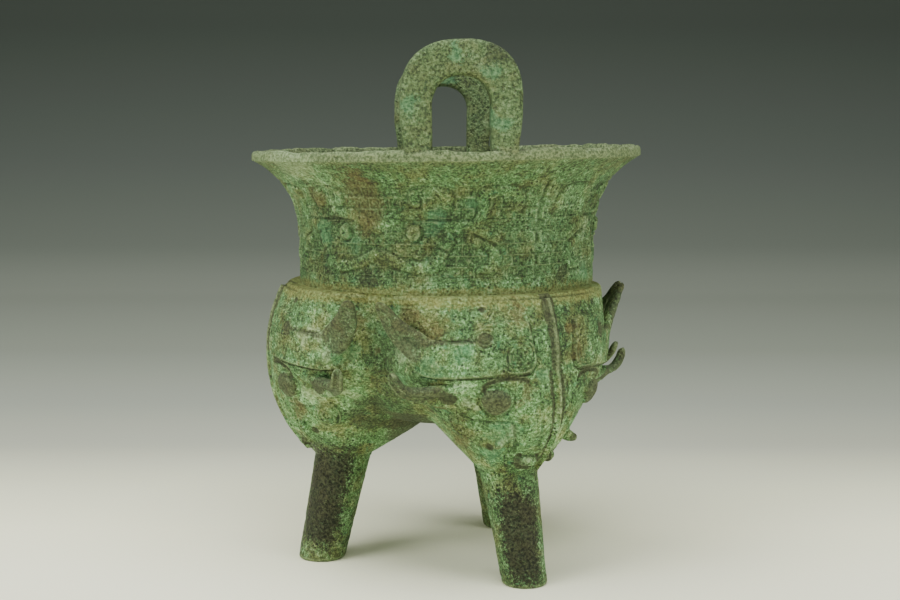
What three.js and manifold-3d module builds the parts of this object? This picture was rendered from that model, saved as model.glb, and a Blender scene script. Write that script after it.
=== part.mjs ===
// Bronze li ding: a lobed tripod cauldron with two upright loop handles and an animal mask
// on each lobe. It was cast in one piece, so it is one solid.
// Millimetres, +Z up, the floor at z = 0, the mouth's axis on Z and the viewer on -Y.

import * as THREE from "three";
import { mergeVertices } from "three/addons/utils/BufferGeometryUtils.js";
import Module from "manifold-3d";

const wasm = await Module();
wasm.setup();

// Sizes of the whole casting
const WALL = 3.4;
const TURN_SIDES = 40; // sides of every turned surface

// Neck and mouth
const SHOULDER_HEIGHT = 121.8;
const RIM_HEIGHT = 179;
const RIM_RADIUS = 83;
const LIP_EDGE = 4; // upright outer edge of the lip
const LIP_WIDTH = 3.6; // flat top of the lip
const NECK_RADIUS = 63.2; // outside, just above the shoulder
const NECK_TAPER = 0.8; // what an even slope adds to the radius below the flare
const FLARE_POWER = 4.9;
const MOUTH_LEAN = 0.9; // degrees that the mouth leans down towards -X

// Round body between the lobes
const BODY_RADIUS = 62.3;
const CROTCH_HEIGHT = 61.5; // lowest point of the body, between the legs
const BODY_FULLNESS = 0.31;

// Three lobes: left, front and rear. They were not cast quite evenly spaced.
const LOBE_AZIMUTHS = [-85, 35, 150.5]; // from the viewer's side, positive towards +X
const BELLY_HEIGHT = 91.6; // where a lobe is widest; its mask is measured up and down from here
const BELLY_REACH = 76.4; // from the vessel's axis to the lobe's outermost point
const BELLY_HALF_WIDTH = 50;
const BELLY_ROUNDING = 0.08; // softens the turn from the wide belly to the cone below it
const BELLY_CENTRE = 32.7; // from the vessel's axis to the middle of the lobe's widest section
const BELLY_BACK = -20;
const SHOULDER_REACH = 68.9;
const SHOULDER_HALF_WIDTH = 51.5;
const SHOULDER_ROUND = 1.6;
const LOBE_FLOOR = 5.5; // bronze between a lobe's hollow and its leg

// Three legs, in the order of the lobes
const LEG_TOP = 46.9;
const LEG_TOP_RADIUS = 12.4;
const LEG_TOP_REACH = 45; // from the vessel's axis to the leg's centre
const FOOT_REACH = 54.9;
const FOOT_RADII = [10.2, 9.4, 9.4];
const FOOT_TURNS = [0, 1.5, 0]; // degrees that a foot stands round from the middle of its lobe

// Two loop handles on the lip
const HANDLE_WIDTH = 46.6;
const HANDLE_RISE = 41.5; // above the lip
const HANDLE_THICKNESS = 10.4; // towards the axis
const HANDLE_SETBACK = 2.2; // from the lip's edge to the handle's outer face
const HANDLE_BAR = 13.5; // height of the bar over the opening
const HANDLE_OPENING = 22.4;
const HANDLE_ROOT = 14; // how far a handle's legs run down inside the flare
const HANDLE_AZIMUTHS = [4.5, 181.2];

// Mask on each lobe; t is the angle round the lobe from its outermost line
const RIDGE_HALF_WIDTH = 1.5;
const RIDGE_PROUD = 1.5;
const EYE = [36.8, -11]; // t, height above the belly
const EYE_RADIUS = 5.6;
const EYE_PROUD = 2.6;
const EYE_RING = 1.5; // width of the ring round the boss
const EYE_RING_PROUD = 0.9;
const EYE_PUPIL_DEPTH = 0.9;
const GROOVE_HALF_WIDTH = 0.85;
const GROOVE_DEPTH = 0.9;
const HORN_PROUD = 1.5;
const HORN_HALF_WIDTH = 6.2;
const HORN_TIP_HALF_WIDTH = 2.2;
const HORN_BEND_SWELL = 2.4; // added thickness where the horn leaves the lobe
const HORN_TIP = [78.4, 29.6, 13]; // t, height above the belly, lift
const EAR_HALF_WIDTH = 5;
const EAR_TIP_HALF_WIDTH = 1.6;
const EAR_TIP = [74.5, 1, 12.5];
const CURL = [72, -23];
const CURL_SIZE = [6, 8.2, 1.9]; // half width, half height, how far it stands proud
const FANG = [48, -28.5];
const FANG_LENGTH = 4.6;
const FANG_STUB = 1.4;
const BROKEN_FANGS = [[0, 1], [1, -1]]; // lobe and side

// Dragon band on the neck
const BAND_GROOVE_HALF_WIDTH = 0.8;
const BAND_GROOVE_DEPTH = 0.8;
const BAND_BOTTOM = 5.5; // above the shoulder
const BAND_BELOW_RIM = 13.2; // from the lip's top down to the band's upper line
const BAND_DRAWN_TOP = 44; // the height that the dragons below are drawn to, above the shoulder
const DRAGON_EYE = [46.2, 24.6]; // degrees from the seam, height above the shoulder
const DRAGON_EYE_RADIUS = 3.3;
const DRAGON_EYE_PROUD = 1.3;

const radians = THREE.MathUtils.degToRad;
const lerp = THREE.MathUtils.lerp;

// Solids
function solid(geometry) {
  const bare = geometry.clone();
  bare.deleteAttribute("normal");
  bare.deleteAttribute("uv");
  const merged = mergeVertices(bare, 1e-4);
  return new wasm.Manifold(new wasm.Mesh({
    numProp: 3,
    vertProperties: new Float32Array(merged.attributes.position.array),
    triVerts: new Uint32Array(merged.index.array),
  }));
}

function joined(solids) {
  return solids.reduce((whole, piece) => whole.add(piece));
}

// A closed cylinder whose vertices are placed by angle, share of the length and share of the radius.
function moulded(sides, rows, place) {
  const geometry = new THREE.CylinderGeometry(1, 1, 1, sides, rows);
  const position = geometry.attributes.position;
  for (let i = 0; i < position.count; i += 1) {
    const x = position.getX(i);
    const z = position.getZ(i);
    const point = place(Math.atan2(x, z), position.getY(i) + 0.5, Math.hypot(x, z));
    position.setXYZ(i, point.x, point.y, point.z);
  }
  return geometry;
}

function turned(profile) {
  const points = profile.map(([radius, height]) => new THREE.Vector2(radius, height));
  return new THREE.LatheGeometry(points, TURN_SIDES).rotateX(Math.PI / 2);
}

// A bar along a path. path(u) gives its centre, and up(u) the side that half height is measured to.
function swept(sides, rows, path, up, halfWidth, halfHeight) {
  return moulded(sides, rows, (angle, u, share) => {
    const step = 0.01;
    const centre = path(u);
    const along = path(Math.min(u + step, 1)).sub(path(Math.max(u - step, 0))).normalize();
    const rise = up(u);
    rise.addScaledVector(along, -rise.dot(along)).normalize();
    const across = new THREE.Vector3().crossVectors(along, rise);
    return centre
      .addScaledVector(across, halfWidth(u) * Math.sin(angle) * share)
      .addScaledVector(rise, halfHeight(u) * Math.cos(angle) * share);
  });
}

// Pieces are shaped with +X away from the vessel's axis and +Y round it, then turned to an azimuth.
function atAzimuth(geometry, azimuth) {
  return geometry.rotateZ(radians(azimuth - 90));
}

// Neck
function neckRadius(height) {
  const flareHeight = RIM_HEIGHT - LIP_EDGE - SHOULDER_HEIGHT;
  const share = THREE.MathUtils.clamp((height - SHOULDER_HEIGHT) / flareHeight, 0, 1);
  const flare = RIM_RADIUS - NECK_RADIUS - NECK_TAPER;
  return NECK_RADIUS + NECK_TAPER * share + flare * share ** FLARE_POWER;
}

function neckOutline(rows) {
  const flareHeight = RIM_HEIGHT - LIP_EDGE - SHOULDER_HEIGHT;
  return Array.from({ length: rows + 1 }, (_, i) => {
    const height = SHOULDER_HEIGHT + flareHeight * (1 - (1 - i / rows) ** 2);
    return [neckRadius(height), height];
  });
}

function bodyRadius(height) {
  const depth = (SHOULDER_HEIGHT - height) / (SHOULDER_HEIGHT - CROTCH_HEIGHT);
  return BODY_RADIUS * Math.max(0, 1 - depth * depth) ** BODY_FULLNESS;
}

function bodyOutline(rows) {
  return Array.from({ length: rows }, (_, i) => {
    const height = SHOULDER_HEIGHT - (SHOULDER_HEIGHT - CROTCH_HEIGHT) * Math.sin((Math.PI / 2) * (1 - i / rows));
    return [bodyRadius(height), height];
  });
}

function outsideTurned() {
  const outline = [...bodyOutline(4), ...neckOutline(6)];
  return turned([...outline, [RIM_RADIUS, RIM_HEIGHT], [0, RIM_HEIGHT]]);
}

// The turned hollow is the outline moved in by the wall, square to it, and open at the mouth.
function insideTurned() {
  const outline = [...bodyOutline(5), ...neckOutline(5).slice(0, -1)];
  const inner = outline.map(([radius, height], i) => {
    const [r0, z0] = outline[Math.max(i - 1, 0)];
    const [r1, z1] = outline[Math.min(i + 1, outline.length - 1)];
    const length = Math.hypot(r1 - r0, z1 - z0);
    return [Math.max(radius - (WALL * (z1 - z0)) / length, 0), height + (WALL * (r1 - r0)) / length];
  });
  const mouth = RIM_RADIUS - LIP_WIDTH;
  inner[0] = [0, CROTCH_HEIGHT + WALL];
  const rising = inner.filter(([radius, height], i) => i === 0 || (height > inner[i - 1][1] && radius < mouth - 1));
  return turned([...rising, [mouth, RIM_HEIGHT], [mouth, RIM_HEIGHT + WALL], [0, RIM_HEIGHT + WALL]]);
}

// Lobes
function lobeSection(height, inset) {
  const below = THREE.MathUtils.clamp((BELLY_HEIGHT - height) / (BELLY_HEIGHT - LEG_TOP), 0, 1);
  const above = THREE.MathUtils.clamp((height - BELLY_HEIGHT) / (SHOULDER_HEIGHT - BELLY_HEIGHT), 0, 1);
  const centre = lerp(LEG_TOP_REACH, BELLY_CENTRE, (1 - below) ** 2.2);
  const round = BELLY_ROUNDING;
  const narrowing = (Math.hypot(below, round) - round) / (Math.hypot(1, round) - round);
  return {
    centre,
    front: lerp(BELLY_REACH, LEG_TOP_REACH + LEG_TOP_RADIUS, below ** 2.31)
      - (BELLY_REACH - SHOULDER_REACH) * above ** 2.27 - centre - inset,
    back: centre - lerp(BELLY_BACK, LEG_TOP_REACH - LEG_TOP_RADIUS, below ** 1.55) - inset,
    halfWidth: lerp(BELLY_HALF_WIDTH, LEG_TOP_RADIUS, narrowing ** 0.78)
      - (BELLY_HALF_WIDTH - SHOULDER_HALF_WIDTH) * above ** 2.5 - inset,
  };
}

function lobePoint(t, height, share = 1, inset = 0, shapeHeight = height) {
  const section = lobeSection(shapeHeight, inset);
  const reach = Math.cos(t) >= 0 ? section.front : section.back;
  return new THREE.Vector3(
    section.centre + share * reach * Math.cos(t),
    share * section.halfWidth * Math.sin(t),
    height,
  );
}

function lobeNormal(t, height) {
  const step = 0.02;
  const round = lobePoint(t + step, height).sub(lobePoint(t - step, height));
  const up = lobePoint(t, height + 1).sub(lobePoint(t, height - 1));
  return round.cross(up).normalize();
}

function lobeOutside() {
  const top = SHOULDER_HEIGHT - SHOULDER_ROUND;
  const rows = 7;
  return moulded(24, rows, (angle, u, share) => {
    if (share === 0) return lobePoint(angle, u > 0.5 ? SHOULDER_HEIGHT : LEG_TOP - 1, 0);
    if (u > 0.99) return lobePoint(angle, SHOULDER_HEIGHT, 1, SHOULDER_ROUND, SHOULDER_HEIGHT);
    return lobePoint(angle, lerp(LEG_TOP - 1, top, (u * rows) / (rows - 1)), share);
  });
}

function lobeInside() {
  const bottom = LEG_TOP + LOBE_FLOOR;
  const top = SHOULDER_HEIGHT - WALL;
  return moulded(20, 5, (angle, u, share) => {
    const height = lerp(bottom, top, u);
    return lobePoint(angle, height, share, WALL, height - 0.5 * WALL * (1 - u));
  });
}

// Legs
function leg(lobe) {
  const top = LEG_TOP + LOBE_FLOOR - 1;
  const turn = radians(FOOT_TURNS[lobe]);
  return moulded(14, 2, (angle, u, share) => {
    const height = lerp(0, top, u);
    const up = height / LEG_TOP;
    const radius = lerp(FOOT_RADII[lobe], LEG_TOP_RADIUS - 0.2, Math.min(up, 1) ** 1.15);
    return new THREE.Vector3(
      lerp(FOOT_REACH * Math.cos(turn), LEG_TOP_REACH, up) + share * radius * Math.cos(angle),
      lerp(FOOT_REACH * Math.sin(turn), 0, Math.min(up, 1)) + share * radius * Math.sin(angle),
      height,
    );
  });
}

// Handles
function archPoints(halfWidth, top, crown, squareness, steps) {
  return Array.from({ length: steps + 1 }, (_, i) => {
    const angle = (Math.PI * i) / steps;
    const x = Math.sign(Math.cos(angle)) * Math.abs(Math.cos(angle)) ** (2 / squareness);
    const z = Math.sin(angle) ** (2 / squareness);
    return new THREE.Vector2(halfWidth * x, top - crown + crown * z);
  });
}

function handle() {
  const root = RIM_HEIGHT - HANDLE_ROOT;
  const top = RIM_HEIGHT + HANDLE_RISE;
  const half = HANDLE_WIDTH / 2;
  const inner = HANDLE_OPENING / 2;
  const outerArch = archPoints(half, top, half, 2.5, 12);
  const innerArch = archPoints(inner, top - HANDLE_BAR, inner, 2.1, 8).reverse();
  const shape = new THREE.Shape([
    new THREE.Vector2(half - 0.6, root),
    ...outerArch,
    new THREE.Vector2(-half + 0.6, root),
    new THREE.Vector2(-inner + 0.4, root),
    ...innerArch,
    new THREE.Vector2(inner - 0.4, root),
  ]);
  const bevel = 1.1;
  const bar = new THREE.ExtrudeGeometry(shape, {
    depth: HANDLE_THICKNESS - 2 * bevel,
    bevelSize: bevel,
    bevelOffset: -bevel,
    bevelThickness: bevel,
    bevelSegments: 1,
  });
  const outerFace = RIM_RADIUS - HANDLE_SETBACK;
  bar.rotateX(Math.PI / 2).rotateZ(Math.PI / 2);
  return bar.translate(outerFace - HANDLE_THICKNESS + bevel, 0, 0);
}

// A stroke is a list of [t in degrees, height above the belly, lift] on a lobe, with side 1 or -1.
function onLobe(stroke, side) {
  const curve = new THREE.CatmullRomCurve3(
    stroke.map(([t, height, lift = 0]) => new THREE.Vector3(t, BELLY_HEIGHT + height, lift)),
  );
  const up = (u) => {
    const { x, y } = curve.getPoint(u);
    return lobeNormal(radians(x * side), y);
  };
  const path = (u) => {
    const { x, y, z } = curve.getPoint(u);
    return lobePoint(radians(x * side), y).addScaledVector(up(u), z);
  };
  return { path, up };
}

function lobeBar(stroke, side, sides, rows, halfWidth, halfHeight) {
  const { path, up } = onLobe(stroke, side);
  return swept(sides, rows, path, up, halfWidth, halfHeight);
}

function lobeGroove(stroke, side, rows) {
  return lobeBar(stroke, side, 4, rows, () => GROOVE_HALF_WIDTH, () => GROOVE_DEPTH);
}

// Something round set on a lobe: its own +Z points away from the surface.
function setOnLobe(geometry, [t, rise], side) {
  const angle = radians(t * side);
  const normal = lobeNormal(angle, BELLY_HEIGHT + rise);
  const place = lobePoint(angle, BELLY_HEIGHT + rise);
  const across = new THREE.Vector3(0, 0, 1).cross(normal).normalize();
  const upwards = new THREE.Vector3().crossVectors(normal, across);
  return geometry.applyMatrix4(new THREE.Matrix4().makeBasis(across, upwards, normal).setPosition(place));
}

function ridge() {
  const top = SHOULDER_HEIGHT - BELLY_HEIGHT - 2.5;
  const bottom = LEG_TOP - BELLY_HEIGHT + 5;
  const stroke = [[0, top], [0, top / 2], [0, 0], [0, bottom / 2], [0, bottom]];
  return lobeBar(stroke, 1, 4, 5, () => RIDGE_HALF_WIDTH, () => RIDGE_PROUD);
}

function horn(side) {
  const stroke = [
    [19, 17, 0], [21, 8, 0], [34, 6, 0], [50, 6, 0.2], [62, 7.5, 0.8],
    [70, 12, 3], [75.5, 18.5, 7], [77.4, 24.5, 10], HORN_TIP,
  ];
  return lobeBar(
    stroke, side, 5, 8,
    (u) => lerp(HORN_HALF_WIDTH, HORN_TIP_HALF_WIDTH, u ** 2.6),
    (u) => HORN_PROUD + HORN_BEND_SWELL * Math.sin(Math.PI * u ** 2.4),
  );
}

function ear(side) {
  const stroke = [[57, -9.5, -1.2], [66, -8, 1.8], [71.5, -4.2, 6.4], EAR_TIP];
  return lobeBar(
    stroke, side, 4, 4,
    (u) => lerp(EAR_HALF_WIDTH, EAR_TIP_HALF_WIDTH, u ** 1.6),
    (u) => lerp(3, 1.3, u),
  );
}

function curl(side) {
  const [halfWidth, halfHeight, proud] = CURL_SIZE;
  const disc = new THREE.SphereGeometry(1, 8, 4).rotateX(Math.PI / 2).scale(halfWidth, halfHeight, proud);
  return setOnLobe(disc, CURL, side);
}

function fang(lobe, side) {
  const broken = BROKEN_FANGS.some(([l, s]) => l === lobe && s === side);
  const length = broken ? FANG_STUB : FANG_LENGTH;
  const [t, rise] = FANG;
  const stroke = [[t - 3.5, rise - 1, -1.5], [t - 2, rise - 0.7, length * 0.5], [t, rise, length]];
  return lobeBar(stroke, side, 4, 2, (u) => lerp(2.6, broken ? 1.7 : 0.7, u), (u) => lerp(2.1, broken ? 1.5 : 0.7, u));
}

// The boss of the eye with the ring round it, turned as one piece.
function eye(side) {
  const profile = [
    [0, -2], [EYE_RADIUS + EYE_RING, -2], [EYE_RADIUS + EYE_RING, EYE_RING_PROUD], [EYE_RADIUS, 0],
    [EYE_RADIUS * 0.6, EYE_PROUD], [0, EYE_PROUD - EYE_PUPIL_DEPTH],
  ];
  const points = profile.map(([radius, height]) => new THREE.Vector2(radius, height));
  return setOnLobe(new THREE.LatheGeometry(points, 10).rotateX(Math.PI / 2), EYE, side);
}

function maskGrooves(side) {
  return [
    // Lower edge of the horn
    lobeGroove([[11.8, 14], [11.4, 3], [18, -0.4], [36, -1.1], [62, -2]], side, 5),
    // Lower lid, from the outer corner of the eye, and down the cheek
    lobeGroove([[66, -14], [56, -19.5], [32, -19.8], [30, -24.5], [32, -33]], side, 5),
  ];
}

function lobeSolids(lobe) {
  const sides = [1, -1];
  const azimuth = LOBE_AZIMUTHS[lobe];
  const add = [lobeOutside(), leg(lobe), ridge(), ...sides.flatMap((side) => [
    horn(side), ear(side), eye(side), curl(side), fang(lobe, side),
  ])];
  const cut = sides.flatMap(maskGrooves);
  const place = (geometries) => geometries.map((geometry) => solid(atAzimuth(geometry, azimuth)));
  return {
    outside: joined(place(add)).subtract(joined(place(cut))),
    inside: solid(atAzimuth(lobeInside(), azimuth)),
  };
}

// A stroke on the neck is a list of [degrees from the seam, height above the shoulder], with the
// heights as drawn for a band of BAND_DRAWN_TOP. They follow the band when the neck's height changes.
const bandTop = RIM_HEIGHT - SHOULDER_HEIGHT - BAND_BELOW_RIM;
const bandRise = (drawn) => (drawn * bandTop) / BAND_DRAWN_TOP;

function neckGroove(stroke, seam, side, rows) {
  const curve = new THREE.CatmullRomCurve3(
    stroke.map(([turn, height]) => new THREE.Vector3(turn, bandRise(height), 0)),
  );
  const direction = (u) => {
    const angle = radians(seam + side * curve.getPoint(u).x - 90);
    return new THREE.Vector3(Math.cos(angle), Math.sin(angle), 0);
  };
  const path = (u) => {
    const height = SHOULDER_HEIGHT + curve.getPoint(u).y;
    return direction(u).multiplyScalar(neckRadius(height)).setZ(height);
  };
  return swept(4, rows, path, direction, () => BAND_GROOVE_HALF_WIDTH, () => BAND_GROOVE_DEPTH);
}

function dragonEye(seam, side) {
  const height = SHOULDER_HEIGHT + bandRise(DRAGON_EYE[1]);
  const boss = new THREE.SphereGeometry(DRAGON_EYE_RADIUS, 6, 3).rotateZ(-Math.PI / 2);
  boss.scale(DRAGON_EYE_PROUD / DRAGON_EYE_RADIUS, 1, 1).translate(neckRadius(height), 0, height);
  return atAzimuth(boss, seam + side * DRAGON_EYE[0]);
}

function dragonGrooves(seam, side) {
  return [
    // Crest hook next to the seam
    neckGroove([[22, 32], [22.5, 38], [18, 42.5], [10, 42], [6.5, 38], [9, 34.5], [13, 36]], seam, side, 4),
    // Jaw and body
    neckGroove([[55, 18], [50, 11], [43, 8], [36, 12], [33, 20], [27, 22], [23, 14], [15, 9]], seam, side, 5),
  ];
}

function banded(neck) {
  const cuts = [];
  const bosses = [];
  for (const seam of LOBE_AZIMUTHS) {
    cuts.push(neckGroove([[0, BAND_BOTTOM], [0, BAND_DRAWN_TOP]], seam, 1, 2));
    for (const side of [1, -1]) {
      cuts.push(...dragonGrooves(seam, side));
      bosses.push(dragonEye(seam, side));
    }
  }
  return neck.subtract(joined(cuts.map(solid))).add(joined(bosses.map(solid)));
}

function handles(mouthSolid) {
  const above = new THREE.CylinderGeometry(RIM_RADIUS * 2, RIM_RADIUS * 2, HANDLE_RISE * 2, TURN_SIDES);
  above.rotateX(Math.PI / 2).translate(0, 0, RIM_HEIGHT - 0.5 + HANDLE_RISE);
  const bounds = mouthSolid.add(solid(above));
  const pair = HANDLE_AZIMUTHS.map((azimuth) => solid(atAzimuth(handle(), azimuth)));
  return joined(pair).intersect(bounds);
}

// The mouth leans: everything above the shoulder is lifted in step with x, more the higher it is.
function lean(positions) {
  const slope = Math.tan(radians(MOUTH_LEAN));
  for (let i = 0; i < positions.length; i += 3) {
    const share = (positions[i + 2] - SHOULDER_HEIGHT) / (RIM_HEIGHT - SHOULDER_HEIGHT);
    positions[i + 2] += positions[i] * slope * THREE.MathUtils.clamp(share, 0, 1);
  }
  return positions;
}

function vessel() {
  const lobes = LOBE_AZIMUTHS.map((_, lobe) => lobeSolids(lobe));
  const round = solid(outsideTurned());
  const hollow = joined([solid(insideTurned()), ...lobes.map((lobe) => lobe.inside)]);
  const shell = joined([banded(round), ...lobes.map((lobe) => lobe.outside)]);
  return shell.subtract(hollow).add(handles(round));
}

function meshOf(body) {
  const { vertProperties, triVerts } = body.getMesh();
  const geometry = new THREE.BufferGeometry();
  geometry.setAttribute("position", new THREE.BufferAttribute(lean(new Float32Array(vertProperties)), 3));
  geometry.setIndex(new THREE.BufferAttribute(new Uint32Array(triVerts), 1));
  geometry.computeVertexNormals();
  return geometry;
}

const bronze = new THREE.MeshStandardMaterial({ color: 0x4d6b4a, roughness: 0.78, metalness: 0.35 });
const cauldron = new THREE.Mesh(meshOf(vessel()), bronze);
cauldron.name = "lobed_tripod_cauldron";

const model = new THREE.Group();
model.add(cauldron);

export default model;
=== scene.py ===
import math
from itertools import product

import bmesh
import bpy
import numpy as np
from mathutils import Matrix, Vector


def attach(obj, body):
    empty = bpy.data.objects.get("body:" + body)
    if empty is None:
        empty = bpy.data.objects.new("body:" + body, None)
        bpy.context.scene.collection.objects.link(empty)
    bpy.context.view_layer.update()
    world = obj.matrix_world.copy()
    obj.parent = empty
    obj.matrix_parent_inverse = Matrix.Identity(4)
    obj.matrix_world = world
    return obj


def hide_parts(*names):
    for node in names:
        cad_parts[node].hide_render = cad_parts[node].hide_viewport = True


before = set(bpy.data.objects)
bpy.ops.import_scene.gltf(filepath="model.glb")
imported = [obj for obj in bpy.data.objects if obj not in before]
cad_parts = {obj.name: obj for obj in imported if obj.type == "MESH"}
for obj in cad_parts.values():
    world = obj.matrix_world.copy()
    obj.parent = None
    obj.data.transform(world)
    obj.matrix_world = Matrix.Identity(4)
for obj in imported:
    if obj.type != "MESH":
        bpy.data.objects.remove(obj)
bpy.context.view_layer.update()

# A bronze li ding: one casting, dressed as four pieces that meet at its natural creases. Shapes are
# worked out in millimetres and made metres at the end.
NODE = "lobed_tripod_cauldron"
METRES = 0.001

# Sizes of the casting
WALL = 3.4
SHOULDER_HEIGHT = 121.8
RIM_HEIGHT = 179
RIM_RADIUS = 83
LIP_EDGE = 4
LIP_WIDTH = 3.6
NECK_RADIUS = 63.2
NECK_TAPER = 0.8
FLARE_POWER = 4.9
MOUTH_LEAN = 0.9
BODY_RADIUS = 62.3
CROTCH_HEIGHT = 61.5
BODY_FULLNESS = 0.31
LOBE_AZIMUTHS = (-85, 35, 150.5)
BELLY_HEIGHT = 91.6
BELLY_REACH = 76.4
BELLY_HALF_WIDTH = 50
BELLY_ROUNDING = 0.08
BELLY_CENTRE = 32.7
BELLY_BACK = -20
SHOULDER_REACH = 68.9
SHOULDER_HALF_WIDTH = 51.5
SHOULDER_ROUND = 1.6
LOBE_FLOOR = 5.5
LEG_TOP = 46.9
LEG_TOP_RADIUS = 12.4
LEG_TOP_REACH = 45
FOOT_REACH = 54.9
FOOT_RADII = (10.2, 9.4, 9.4)
FOOT_TURNS = (0, 1.5, 0)
HANDLE_WIDTH = 46.6
HANDLE_RISE = 41.5
HANDLE_THICKNESS = 10.4
HANDLE_SETBACK = 2.2
HANDLE_BAR = 13.5
HANDLE_OPENING = 22.4
HANDLE_ROOT = 14
HANDLE_AZIMUTHS = (4.5, 181.2)
FLARE_HEIGHT = RIM_HEIGHT - LIP_EDGE - SHOULDER_HEIGHT

# Places on a mask are (degrees round the lobe from its ridge, height above the belly)
EYE = (36.8, -11)
EYE_RADIUS = 5.7
EYE_PROUD = 2.6
EYE_RING_RADIUS = 6.9
CURL = (72, -23)
CURL_SIZE = (5.8, 7.8)
SNOUT = (24.5, -37.6)
FANG = (48, -28.5)
RIDGE_DRIFTS = (0, 18, 0)
BROKEN_FANGS = ((0, 1), (1, -1))

# Places on the band are (degrees from the seam, height above the shoulder)
BAND_BOTTOM = 5.5
BAND_TOP = 44.3
DRAGON_EYE = (46.2, 24.6)
DRAGON_EYE_RADIUS = 3.3


def blend(a, b, share):
    return a + (b - a) * share


def smooth(share):
    share = np.clip(share, 0, 1)
    return share * share * (3 - 2 * share)


def ease(value, start, end):
    """From 0 to 1 as a value goes from start to end, which may lie below it."""
    return smooth((value - start) / (end - start))


def squared(value, squareness):
    """A sine or cosine pushed out towards the corners of a square. A squareness of 2 leaves it as it is."""
    return np.sign(value) * np.abs(value) ** (2 / squareness)


def azimuth_of(x, y):
    """Degrees round the vessel from the side of the viewer, on to the viewer's right."""
    return np.degrees(np.arctan2(x, -y))


def turn_between(start, end):
    """Degrees from one direction to another, from -180 to 180."""
    return (end - start + 180) % 360 - 180


def from_axis(points):
    return np.hypot(points[:, 0], points[:, 1])


# Corroded surface: seeded lumps
def lumps(points, size, seed):
    """Smooth noise from -1 to 1, in lumps of about the given size."""
    table = np.random.default_rng(seed).uniform(-1, 1, 4096)
    scaled = points / size
    cell = np.floor(scaled).astype(np.int64)
    share = smooth(scaled - cell)
    total = np.zeros(len(points))
    for corner in product((0, 1), repeat=3):
        key = cell + corner
        key = (key[:, 0] * 73856093) ^ (key[:, 1] * 19349663) ^ (key[:, 2] * 83492791)
        weight = np.prod(np.where(corner, share, 1 - share), axis=1)
        total += table[key & 4095] * weight
    return total


def corrosion(points):
    """How far the corroded skin stands off the cast surface, in millimetres."""
    swell = 0.16 * lumps(points, 9.0, 3) + 0.10 * lumps(points, 4.1, 4)
    crust = 0.085 * lumps(points, 1.9, 5) + 0.05 * lumps(points, 1.05, 6)
    pits = np.clip(lumps(points, 2.3, 7) - 0.42, 0, 1) * 0.55
    return swell + crust - pits


# Outlines of the casting
def neck_radius(height):
    share = np.clip((height - SHOULDER_HEIGHT) / FLARE_HEIGHT, 0, 1)
    flare = RIM_RADIUS - NECK_RADIUS - NECK_TAPER
    return NECK_RADIUS + NECK_TAPER * share + flare * share ** FLARE_POWER


def body_radius(height):
    depth = (SHOULDER_HEIGHT - height) / (SHOULDER_HEIGHT - CROTCH_HEIGHT)
    return BODY_RADIUS * np.clip(1 - depth * depth, 0, 1) ** BODY_FULLNESS


def neck_outline(rows):
    heights = SHOULDER_HEIGHT + FLARE_HEIGHT * (1 - (1 - np.arange(rows + 1) / rows) ** 2)
    return [(float(neck_radius(h)), float(h)) for h in heights]


def body_outline(rows):
    turns = np.sin(math.pi / 2 * (1 - np.arange(rows) / rows))
    heights = SHOULDER_HEIGHT - (SHOULDER_HEIGHT - CROTCH_HEIGHT) * turns
    return [(float(body_radius(h)), float(h)) for h in heights]


def inside_outline():
    """The outline moved in by the wall, square to it."""
    outline = body_outline(24) + neck_outline(24)[:-1]
    mouth = RIM_RADIUS - LIP_WIDTH
    inner = [(0.0, CROTCH_HEIGHT + WALL)]
    for i in range(1, len(outline)):
        (r0, z0), (r1, z1) = outline[i - 1], outline[min(i + 1, len(outline) - 1)]
        length = math.hypot(r1 - r0, z1 - z0)
        radius = outline[i][0] - WALL * (z1 - z0) / length
        height = outline[i][1] + WALL * (r1 - r0) / length
        if height > inner[-1][1] and inner[-1][0] < radius + 8 and radius < mouth - 0.6:
            inner.append((max(radius, 0.2), height))
    above = RIM_HEIGHT + 9
    return inner + [(mouth, RIM_HEIGHT - 0.9), (mouth + 0.5, RIM_HEIGHT), (mouth + 0.5, above), (0.0, above)]


def lobe_section(height, inset=0.0):
    below = np.clip((BELLY_HEIGHT - height) / (BELLY_HEIGHT - LEG_TOP), 0, 1)
    above = np.clip((height - BELLY_HEIGHT) / (SHOULDER_HEIGHT - BELLY_HEIGHT), 0, 1)
    centre = blend(LEG_TOP_REACH, BELLY_CENTRE, (1 - below) ** 2.2)
    rounding = BELLY_ROUNDING
    narrowing = (np.hypot(below, rounding) - rounding) / (math.hypot(1, rounding) - rounding)
    front = blend(BELLY_REACH, LEG_TOP_REACH + LEG_TOP_RADIUS, below ** 2.31)
    front = front - (BELLY_REACH - SHOULDER_REACH) * above ** 2.27 - centre - inset
    back = centre - blend(BELLY_BACK, LEG_TOP_REACH - LEG_TOP_RADIUS, below ** 1.55) - inset
    half_width = blend(BELLY_HALF_WIDTH, LEG_TOP_RADIUS, narrowing ** 0.78)
    half_width = half_width - (BELLY_HALF_WIDTH - SHOULDER_HALF_WIDTH) * above ** 2.5 - inset
    return centre, front, back, half_width


def lobe_point(turn, height, inset=0.0, shape_height=None):
    """A place on a lobe, with +X away from the vessel's axis. The turn is in radians."""
    section_height = height if shape_height is None else shape_height
    centre, front, back, half_width = lobe_section(section_height, inset)
    reach = np.where(np.cos(turn) >= 0, front, back)
    return np.stack([centre + reach * np.cos(turn), half_width * np.sin(turn),
                     height + 0 * turn], axis=-1)


def lobe_normal(turn, height):
    around = lobe_point(turn + 0.02, height) - lobe_point(turn - 0.02, height)
    up = lobe_point(turn, height + 1) - lobe_point(turn, height - 1)
    normal = np.cross(around, up)
    return normal / np.linalg.norm(normal, axis=-1, keepdims=True)


def lobe_surface(turn, rise):
    return lobe_point(np.radians(turn), BELLY_HEIGHT + rise)


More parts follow.
